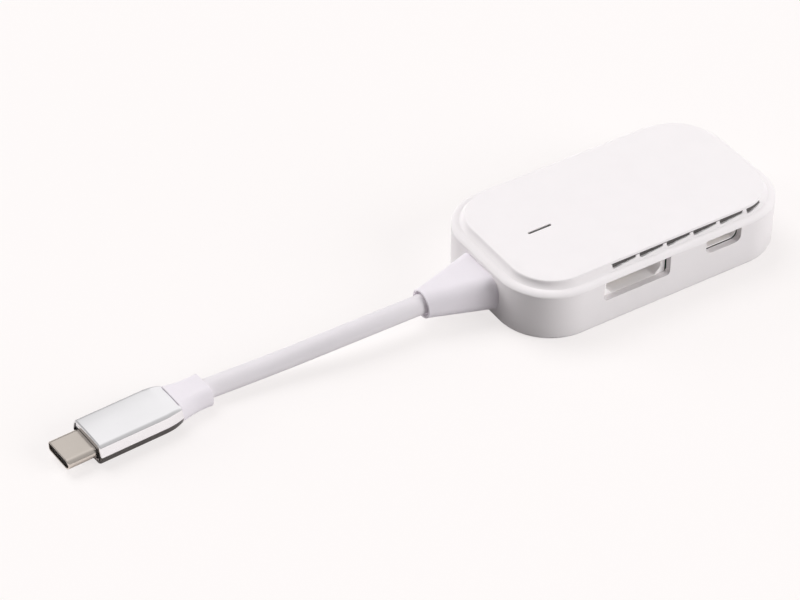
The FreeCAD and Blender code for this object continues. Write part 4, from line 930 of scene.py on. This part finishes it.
    def corner_sweep(self, inset: float, depth: float, height: float) -> Mesh:
        """Start a mesh with a bar that follows the corner at the slits' height.

        Args:
            inset: How far inside the wall it starts.
            depth: Its depth from there.
            height: Its height.

        Returns:
            The mesh.
        """
        mesh, _ = rounded_plate(depth, height)
        start = on_wall(self.corner - inset - depth / 2, 0, self.slit_middle)
        place(mesh, Matrix.Rotation(-math.pi / 2, 4, "Z") @ start)
        bmesh.ops.spin(mesh, geom=mesh.faces[:], cent=(0, 0, 0), axis=Z_AXIS, dvec=(0, 0, 0),
                       angle=math.radians(self.slit_turn), steps=self.turn_steps, use_merge=False)
        place(mesh, at(*self.corner_centre))
        return mesh

    def slit_shade_sheet(self) -> Piece:
        """A dark sheet of painted shade that stands in the slits, where the hollow inside is only
        in shade.

        Returns:
            The screen.
        """
        margin, sheet = self.shade_sheet_margin, self.shade_sheet_thickness
        height = self.slit_height + 2 * margin
        length = self.slit_pitch * (self.slit_count - 1) + self.slit_length + 2 * margin
        inset = self.slit_inset + self.shade_sheet_inset
        mesh, _, _ = rounded_block((length, height, sheet))
        place(mesh, on_wall(self.slit_start - margin + length / 2, inset + sheet - self.width / 2,
                            self.slit_middle))
        add_mesh(mesh, self.corner_sweep(inset, sheet, height))
        return dress(soften(solid(mesh, "slit_shade_sheet")), SLIT_SHADE)

    def light_pipe(self) -> Piece:
        """The dark window in the indicator slit, on its column with a flange.

        Returns:
            The window.
        """
        length, width = (size - 2 * self.window_gap for size in self.indicator)
        size = (length, width, self.top - self.window_sink - self.pipe_foot)
        mesh, _, front = rounded_block(size, width / 2 - STRAIGHT_LEFT, segments=8)
        follow(mesh, front, self.window_edge)
        place(mesh, at(0, 0, self.pipe_foot))
        flange, _, _ = rounded_block(self.pipe_flange, self.pipe_flange_corner, segments=6)
        place(flange, at(0, 0, self.pipe_flange_low))
        add_mesh(mesh, flange)
        made = solid(mesh, "indicator_window", at(self.indicator_x, 0, 0))
        return dress(soften(made), CLEAR, "light_pipe")


@dataclass
class PowerSocket:
    """The small power socket: a drawn metal shell with a rolled mouth, and a dark tongue."""

    name: str = "power"
    x: float = 14.3
    z: float = 9.45
    mouth: Pair = (8.34, 2.56)
    mouth_y: float = -18.4
    depth: float = 7.3
    sheet: float = 0.25
    back_sheet: float = 0.3
    lip: Profile = ((0.08, 0.06), (0.18, 0.06), (0.25, -0.02))
    blade: Triple = (6.69, 0.7, 5.6)
    blade_setback: float = 0.9
    blade_corner: float = 0.12
    blade_front: Profile = ((0.08, 0.0), (0.14, -0.05))
    blade_edge: float = 0.04

    def build(self) -> list[Piece]:
        """Make the shell and the tongue."""
        return [self.shell(), self.tongue()]

    def outline(self, grow: float) -> tuple[Mesh, Face]:
        """Start a mesh with the mouth's outline as one face, grown outwards."""
        width, height = (size + 2 * grow for size in self.mouth)
        return rounded_plate(width, height, height / 2 - STRAIGHT_LEFT, segments=14)

    def shell(self) -> Piece:
        """The metal shell.

        Returns:
            The shell.
        """
        mesh, face = self.outline(self.sheet)
        mouth = raise_plate(mesh, face, self.depth)
        follow(mesh, mouth, (*self.lip, (self.sheet, self.back_sheet - self.depth)))
        where = on_wall(self.x, self.mouth_y + self.depth, self.z)
        made = solid(mesh, f"{self.name}_socket_can", where)
        return dress(soften(made), SOCKET, f"{self.name}_socket_shell")

    def tongue(self) -> Piece:
        """The dark tongue with its bevelled front.

        Returns:
            The tongue.
        """
        mesh, _, front = rounded_block(self.blade, self.blade_corner, segments=3)
        follow(mesh, front, self.blade_front)
        where = on_wall(self.x, self.mouth_y + self.blade_setback + self.blade[2], self.z)
        made = solid(mesh, f"{self.name}_blade", where)
        return dress(soften(made, self.blade_edge), DARK, f"{self.name}_socket_tongue")


@dataclass
class VideoSocket(PowerSocket):
    """The video socket, whose shell is folded, narrow at its foot, and has a flange."""

    name: str = "video"
    x: float = -8.2
    z: float = 8.875
    mouth: Pair = (14.0, 4.55)
    depth: float = 11.5
    lip: Profile = ((0.06, 0.05), (0.19, 0.05), (0.25, -0.05))
    blade: Triple = (12.0, 1.5, 8.8)
    blade_setback: float = 2.2
    foot: float = 11.0
    side: float = 2.9
    corner: float = 0.55
    flange_size: Pair = (16.4, 5.15)
    flange_corner: float = 0.7
    flange_setback: float = 0.02
    flange_drop: float = 0.1
    flange_bite: float = 0.04
    flange_edge: float = 0.05
    flange_cut: float = 3.0

    def build(self) -> list[Piece]:
        """Make the shell, the flange and the tongue."""
        return [self.shell(), self.flange(), self.tongue()]

    def outline(self, grow: float) -> tuple[Mesh, Face]:
        """Start a mesh with the mouth's outline as one face.

        Args:
            grow: How far it lies outside the mouth.

        Returns:
            The mesh and its face.
        """
        mesh, face = rounded_plate(*(size + 2 * grow for size in self.mouth))
        feet = [vert for vert in face.verts if vert.co.y < 0]
        for vert in split_sides(face):
            vert.co.y = (self.mouth[1] / 2 - self.side - grow / 2) * MM
        for vert in feet:
            vert.co.x = math.copysign((self.foot + grow) / 2 * MM, vert.co.x)
        return mesh, round_corners(mesh, face.verts[:], self.corner, segments=5)

    def flange(self) -> Piece:
        """The flange round the mouth.

        Returns:
            The flange.
        """
        size = (*self.flange_size, self.sheet)
        mesh, _, _ = rounded_block(size, self.flange_corner, segments=8)
        back = self.mouth_y + self.sheet + self.flange_setback
        where = on_wall(self.x, back, self.z - self.flange_drop)
        made = solid(mesh, "video_socket_flange", where)
        mesh, face = self.outline(self.sheet - self.flange_bite)
        raise_plate(mesh, face, self.flange_cut)
        where = on_wall(self.x, self.mouth_y + self.flange_cut / 2, self.z)
        cut_away(made, [solid(mesh, "flange_cut", where)])
        return dress(soften(made, self.flange_edge), SOCKET)


@dataclass
class Boot:
    """The tapered strain relief at the housing's end wall."""

    wall_x: float = -34.5
    root: Triple = (13.2, 8.6, 2.9)
    root_corner: float = 2.7
    root_z: float = 6.05
    corner_segments: int = 16
    length: float = 14.7
    cable_z: float = 6.2
    end: float = 6.5
    end_sheet: float = 0.3
    end_rise: float = 0.1
    end_face: Profile = ((0.12, 0.1), (0.4, 0.1), (0.5, 0.0), (0.5, -1.0), (1.4, -1.0))

    def build(self) -> list[Piece]:
        """Bridge the root at the wall and the ring round the cable.

        Returns:
            The boot alone.
        """
        mesh, _, front = rounded_block(self.root, self.root_corner, self.corner_segments)
        bmesh.ops.delete(mesh, geom=[front], context="FACES_ONLY")
        place(mesh, on_end(self.wall_x + self.root[2], self.root_z))
        near = [edge for edge in mesh.edges if edge.is_boundary]
        ring = bmesh.new()
        bmesh.ops.create_circle(ring, cap_ends=True, segments=4 * (self.corner_segments + 1),
                                radius=self.end / 2 * MM)
        disc = ring.faces[:][0]
        follow(ring, raise_plate(ring, disc, self.end_sheet), self.end_face)
        bmesh.ops.delete(ring, geom=[disc], context="FACES_ONLY")
        ring_depth = self.end_sheet + self.end_rise
        place(ring, on_end(self.wall_x - self.length + ring_depth, self.cable_z))
        add_mesh(mesh, ring)
        far = [edge for edge in mesh.edges if edge.is_boundary and edge not in near]
        bmesh.ops.bridge_loops(mesh, edges=near + far)
        return [dress(soften(solid(mesh, "boot_body")), BOOT, "cable_boot")]


@dataclass
class Plug:
    """The plug: tip, insulator, collar, sleeve, lips and neck along its own axis."""

    front: Triple = (-132.63, 2.2, 2.76)
    yaw: float = 3.16
    tip: Triple = (8.25, 2.4, 6.65)
    tip_hidden: float = 2.0
    tip_sheet: float = 0.3
    tip_bore: float = 1.5
    tip_lip: Profile = ((0.02, 0.07), (0.07, 0.14), (0.15, 0.18), (0.22, 0.16), (0.3, 0.08))
    tip_lip_rise: float = 0.18
    tip_plan_round: float = 0.6
    insulator_gap: float = 0.01
    insulator_start: float = 0.6
    insulator_length: float = 7.5
    slot: Triple = (6.9, 0.9, 5.4)
    slot_corner: float = 0.2
    cut_past: float = 1.0
    collar_gap: float = 0.01
    collar_sink: float = 0.35
    collar_sheet: float = 1.2
    collar_hole_gap: float = 0.03
    collar_cut: float = 3.0
    fine_edge: float = 0.05
    sleeve: Triple = (11.5, 5.5, 19.5)
    sleeve_top: float = 9.9
    sleeve_foot: float = 9.3
    sleeve_round: float = 0.75
    ridge_round: float = 0.12
    flat_share: float = 0.75
    sleeve_wall: float = 0.5
    sleeve_lip: Profile = (
        (0.03, 0.16), (0.12, 0.3), (0.26, 0.38), (0.4, 0.4), (0.5, 0.4), (0.5, -15.0))
    sleeve_lip_rise: float = 0.4
    sleeve_heel: Profile = ((0.05, 0.04), (0.12, 0.06), (1.0, 0.06))
    taper_length: float = 4.6
    taper: float = 0.75
    dip_length: float = 2.6
    dip: float = 0.45
    crown: float = 0.15
    crown_slices: int = 8
    lip_width: float = 8.4
    lip_heights: Pair = (1.36, 2.28)
    lip_corner: float = 0.15
    lip_depth: float = 0.7
    lip_setback: float = 0.02
    neck_root: Pair = (9.3, 5.0)
    neck_end: Pair = (7.6, 4.9)
    neck_corner: float = 2.1
    neck_length: float = 7.75
    neck_waist: float = 0.08
    neck_heel: Profile = ((0.06, 0.05), (0.18, 0.08), (1.0, 0.08))
    neck_front: Profile = ((0.4, 0.0),)
    length_slices: int = 12

    def along(self, distance: float) -> Matrix:
        """The place of a plate across the plug that faces the tip's front, from a distance."""
        turn = Matrix.Rotation(math.radians(self.yaw), 4, "Z")
        return at(*self.front) @ turn @ on_end(distance, 0)

    def build(self) -> list[Piece]:
        """Make the plug's pieces."""
        return [self.make_tip(), self.make_insulator(), self.make_collar(), self.make_sleeve(),
                self.make_lips(), self.make_neck()]

    def make_tip(self) -> Piece:
        """The drawn metal tip with a rounded front lip.

        Returns:
            The tip.
        """
        width, height, length = self.tip
        depth = length + self.tip_hidden
        mesh, _, front = rounded_block((width, height, depth - self.tip_lip_rise),
                                       height / 2 - STRAIGHT_LEFT, segments=16)
        follow(mesh, front, (*self.tip_lip, (self.tip_sheet, -length - self.tip_bore)))
        turn, straight = self.tip_plan_round * MM, (width / 2 - self.tip_plan_round) * MM
        for vert in mesh.verts:
            past = min(turn, abs(vert.co.x) - straight)
            if vert.co.z > (length + self.tip_hidden / 2) * MM and past > 0:
                vert.co.z -= turn - math.sqrt(turn ** 2 - past ** 2)
        made = solid(mesh, "plug_end_tip", self.along(depth))
        return dress(soften(made), TIP, "plug_tip")

    def make_insulator(self) -> Piece:
        """The dark body inside the tip with its slot.

        Returns:
            The body.
        """
        width, height = (size - 2 * (self.tip_sheet + self.insulator_gap) for size in self.tip[:2])
        size = (width, height, self.insulator_length)
        mesh, _, _ = rounded_block(size, height / 2 - STRAIGHT_LEFT, segments=12)
        back = self.insulator_start + self.insulator_length
        made = solid(mesh, "plug_end_insulator", self.along(back))
        width, height, depth = self.slot
        cut_away(made, [cutter((width, height, depth + self.cut_past), self.slot_corner,
                               self.along(self.insulator_start + depth), segments=4)])
        return dress(soften(made, self.fine_edge), DARK, "plug_insulator")

    def ridged_plate(self, margin: float) -> tuple[Mesh, Face]:
        """Start a mesh with the sleeve's six-sided section, which has a ridge along each side.

        Args:
            margin: How far it lies inside the sleeve's outline.

        Returns:
            The mesh and its face.
        """
        mesh, face = rounded_plate(self.sleeve_top, self.sleeve[1] - 2 * margin)
        corners = face.verts[:]
        ridges = split_sides(face)
        for vert in corners:
            half = (self.sleeve_top if vert.co.y > 0 else self.sleeve_foot) / 2
            vert.co.x = math.copysign((half - self.flat_share * margin) * MM, vert.co.x)
        for vert in ridges:
            vert.co.x = math.copysign((self.sleeve[0] / 2 - margin) * MM, vert.co.x)
        round_corners(mesh, corners, self.sleeve_round - margin / 2, segments=8)
        return mesh, round_corners(mesh, ridges, self.ridge_round, segments=4)

    def make_collar(self) -> Piece:
        """The dark face in the sleeve's front, round the tip.

        Returns:
            The collar.
        """
        mesh, plate = self.ridged_plate(self.sleeve_wall + self.collar_gap)
        raise_plate(mesh, plate, self.collar_sheet)
        width, height, length = self.tip
        back = self.along(length + self.collar_sink + self.collar_sheet)
        made = solid(mesh, "plug_end_collar", back)
        gap = 2 * self.collar_hole_gap
        size = (width + gap, height + gap, self.collar_cut + self.cut_past)
        where = self.along(length + self.collar_cut)
        cut_away(made, [cutter(size, height / 2, where, segments=12)])
        return dress(soften(made, self.fine_edge), DARK, "plug_collar")

    def make_sleeve(self) -> Piece:
        """The polished sleeve with its slightly crowned faces and drawn-in end; its lower half
        takes a dark finish of painted shade, standing in for the dark reflection beneath it.

        Returns:
            The sleeve.
        """
        width, height, length = self.sleeve
        mesh, plate = self.ridged_plate(0.0)
        front = raise_plate(mesh, plate, length - self.sleeve_lip_rise)
        follow(mesh, front, self.sleeve_lip)
        slice_across(mesh, Z_AXIS, 0.0, self.taper_length, self.length_slices)
        slice_across(mesh, X_AXIS, -self.sleeve_top / 2, self.sleeve_top, self.crown_slices)
        for vert in mesh.verts:
            narrow = max(0.0, 1 - vert.co.z / (self.taper_length * MM))
            low = max(0.0, 1 - vert.co.z / (self.dip_length * MM))
            aside = 2 * vert.co.x / (self.sleeve_top * MM)
            vert.co.y *= 1 - 2 * self.crown / height * aside ** 2
            vert.co.x *= 1 - 2 * self.taper / width * narrow ** 2
            vert.co.y *= 1 - 2 * self.dip / height * low ** 2
        follow(mesh, plate, self.sleeve_heel)
        made = soften(solid(mesh, "plug_end_sleeve", self.along(self.tip[2] + length)))
        dress(made, SLEEVE, "plug_sleeve")
        # Painted shade: faces below the plug's middle height get the dark finish, in place of the
        # dark reflection below.
        made.data.materials.append(SLEEVE_PAINTED_SHADE.material())
        for face in made.data.polygons:
            face.material_index = int(face.center.z < self.front[2] * MM)
        return made

    def make_lips(self) -> Piece:
        """The two lips that close the sleeve's front above and below the tip.

        Returns:
            The lips.
        """
        mesh = bmesh.new()
        low, high = self.lip_heights
        for side in (-1, 1):
            bar, _, _ = rounded_block((self.lip_width, high - low, self.lip_depth),
                                      self.lip_corner, segments=4)
            place(bar, at(0, side * (low + high) / 2, 0))
            add_mesh(mesh, bar)
        back = self.along(self.tip[2] + self.lip_setback + self.lip_depth)
        return dress(soften(solid(mesh, "plug_end_lips", back), self.fine_edge), SLEEVE)

    def make_neck(self) -> Piece:
        """The moulded neck, slightly waisted, that ends square round the cable.

        Returns:
            The neck.
        """
        size = (*self.neck_root, self.neck_length)
        mesh, back, front = rounded_block(size, self.neck_corner, segments=10)
        slice_across(mesh, Z_AXIS, 0.0, self.neck_length, self.length_slices)
        across, up = (end / root - 1 for end, root in zip(self.neck_end, self.neck_root))
        for vert in mesh.verts:
            share = 1 - vert.co.z / (self.neck_length * MM)
            waist = math.sin(math.pi * share) * self.neck_waist
            vert.co.x *= 1 + across * share - waist
            vert.co.y *= 1 + up * share - waist / 2
        follow(mesh, back, self.neck_heel)
        follow(mesh, front, self.neck_front)
        end = self.along(self.tip[2] + self.sleeve[2] + self.neck_length)
        return dress(soften(solid(mesh, "plug_end_neck", end)), BOOT, "plug_neck")


@dataclass
class Cable:
    """The captive cable from the boot to the plug's neck."""

    radius: float = 2.2
    length: float = 50.98
    route: tuple[Triple, ...] = (
        (-48.2, 0.0, 6.2),
        (-60.8, 0.0, 6.2),
        (-85.6, 3.25, 2.95),
        (-98.78, 4.07, 2.76),
    )

    def build(self) -> list[Piece]:
        """Lay the cable along its route.

        Returns:
            The cable alone.
        """
        data = bpy.data.curves.new("cable_jacket", "CURVE")
        data.dimensions = "3D"
        data.bevel_depth = self.radius * MM
        data.bevel_resolution = 12
        data.use_fill_caps = True
        data.resolution_u = 24
        line = data.splines.new("NURBS")
        line.points.add(len(self.route) - 1)
        for point, spot in zip(line.points, self.route):
            point.co = (*(Vector(spot) * MM), 1.0)
        line.order_u = 3
        line.use_endpoint_u = True
        line.use_smooth = True
        cable = dress(link("cable_jacket", data), JACKET, "cable")
        pieces = [node for name, node in frame["nodes"].items()
                  if name.startswith("plug_") and not node.hide_render]
        pieces += [piece for piece in bpy.context.scene.objects
                   if piece.name.startswith("plug_end_")]
        return [cable]


def dress_nodes() -> None:
    """Give every CAD node the finish of its slot, which shows where no piece replaces it."""
    slots = {part["node"]: part["material_slot"] for part in frame["record"]["subparts"]}
    for name, node in frame["nodes"].items():
        node.data.materials.clear()
        node.data.materials.append(FINISHES[slots[name]].material())


def main() -> None:
    """Build the object and its surroundings, and report each piece."""
    logging.basicConfig(level=logging.INFO, format="%(name)s: %(message)s")
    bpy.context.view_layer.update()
    Studio().build()
    dress_nodes()
    for assembly in (Housing(), VideoSocket(), PowerSocket(), Boot(), Plug(), Cable()):
        for piece in assembly.build():
            LOG.info("made %s", piece.name)


if __name__ == "__main__":
    main()
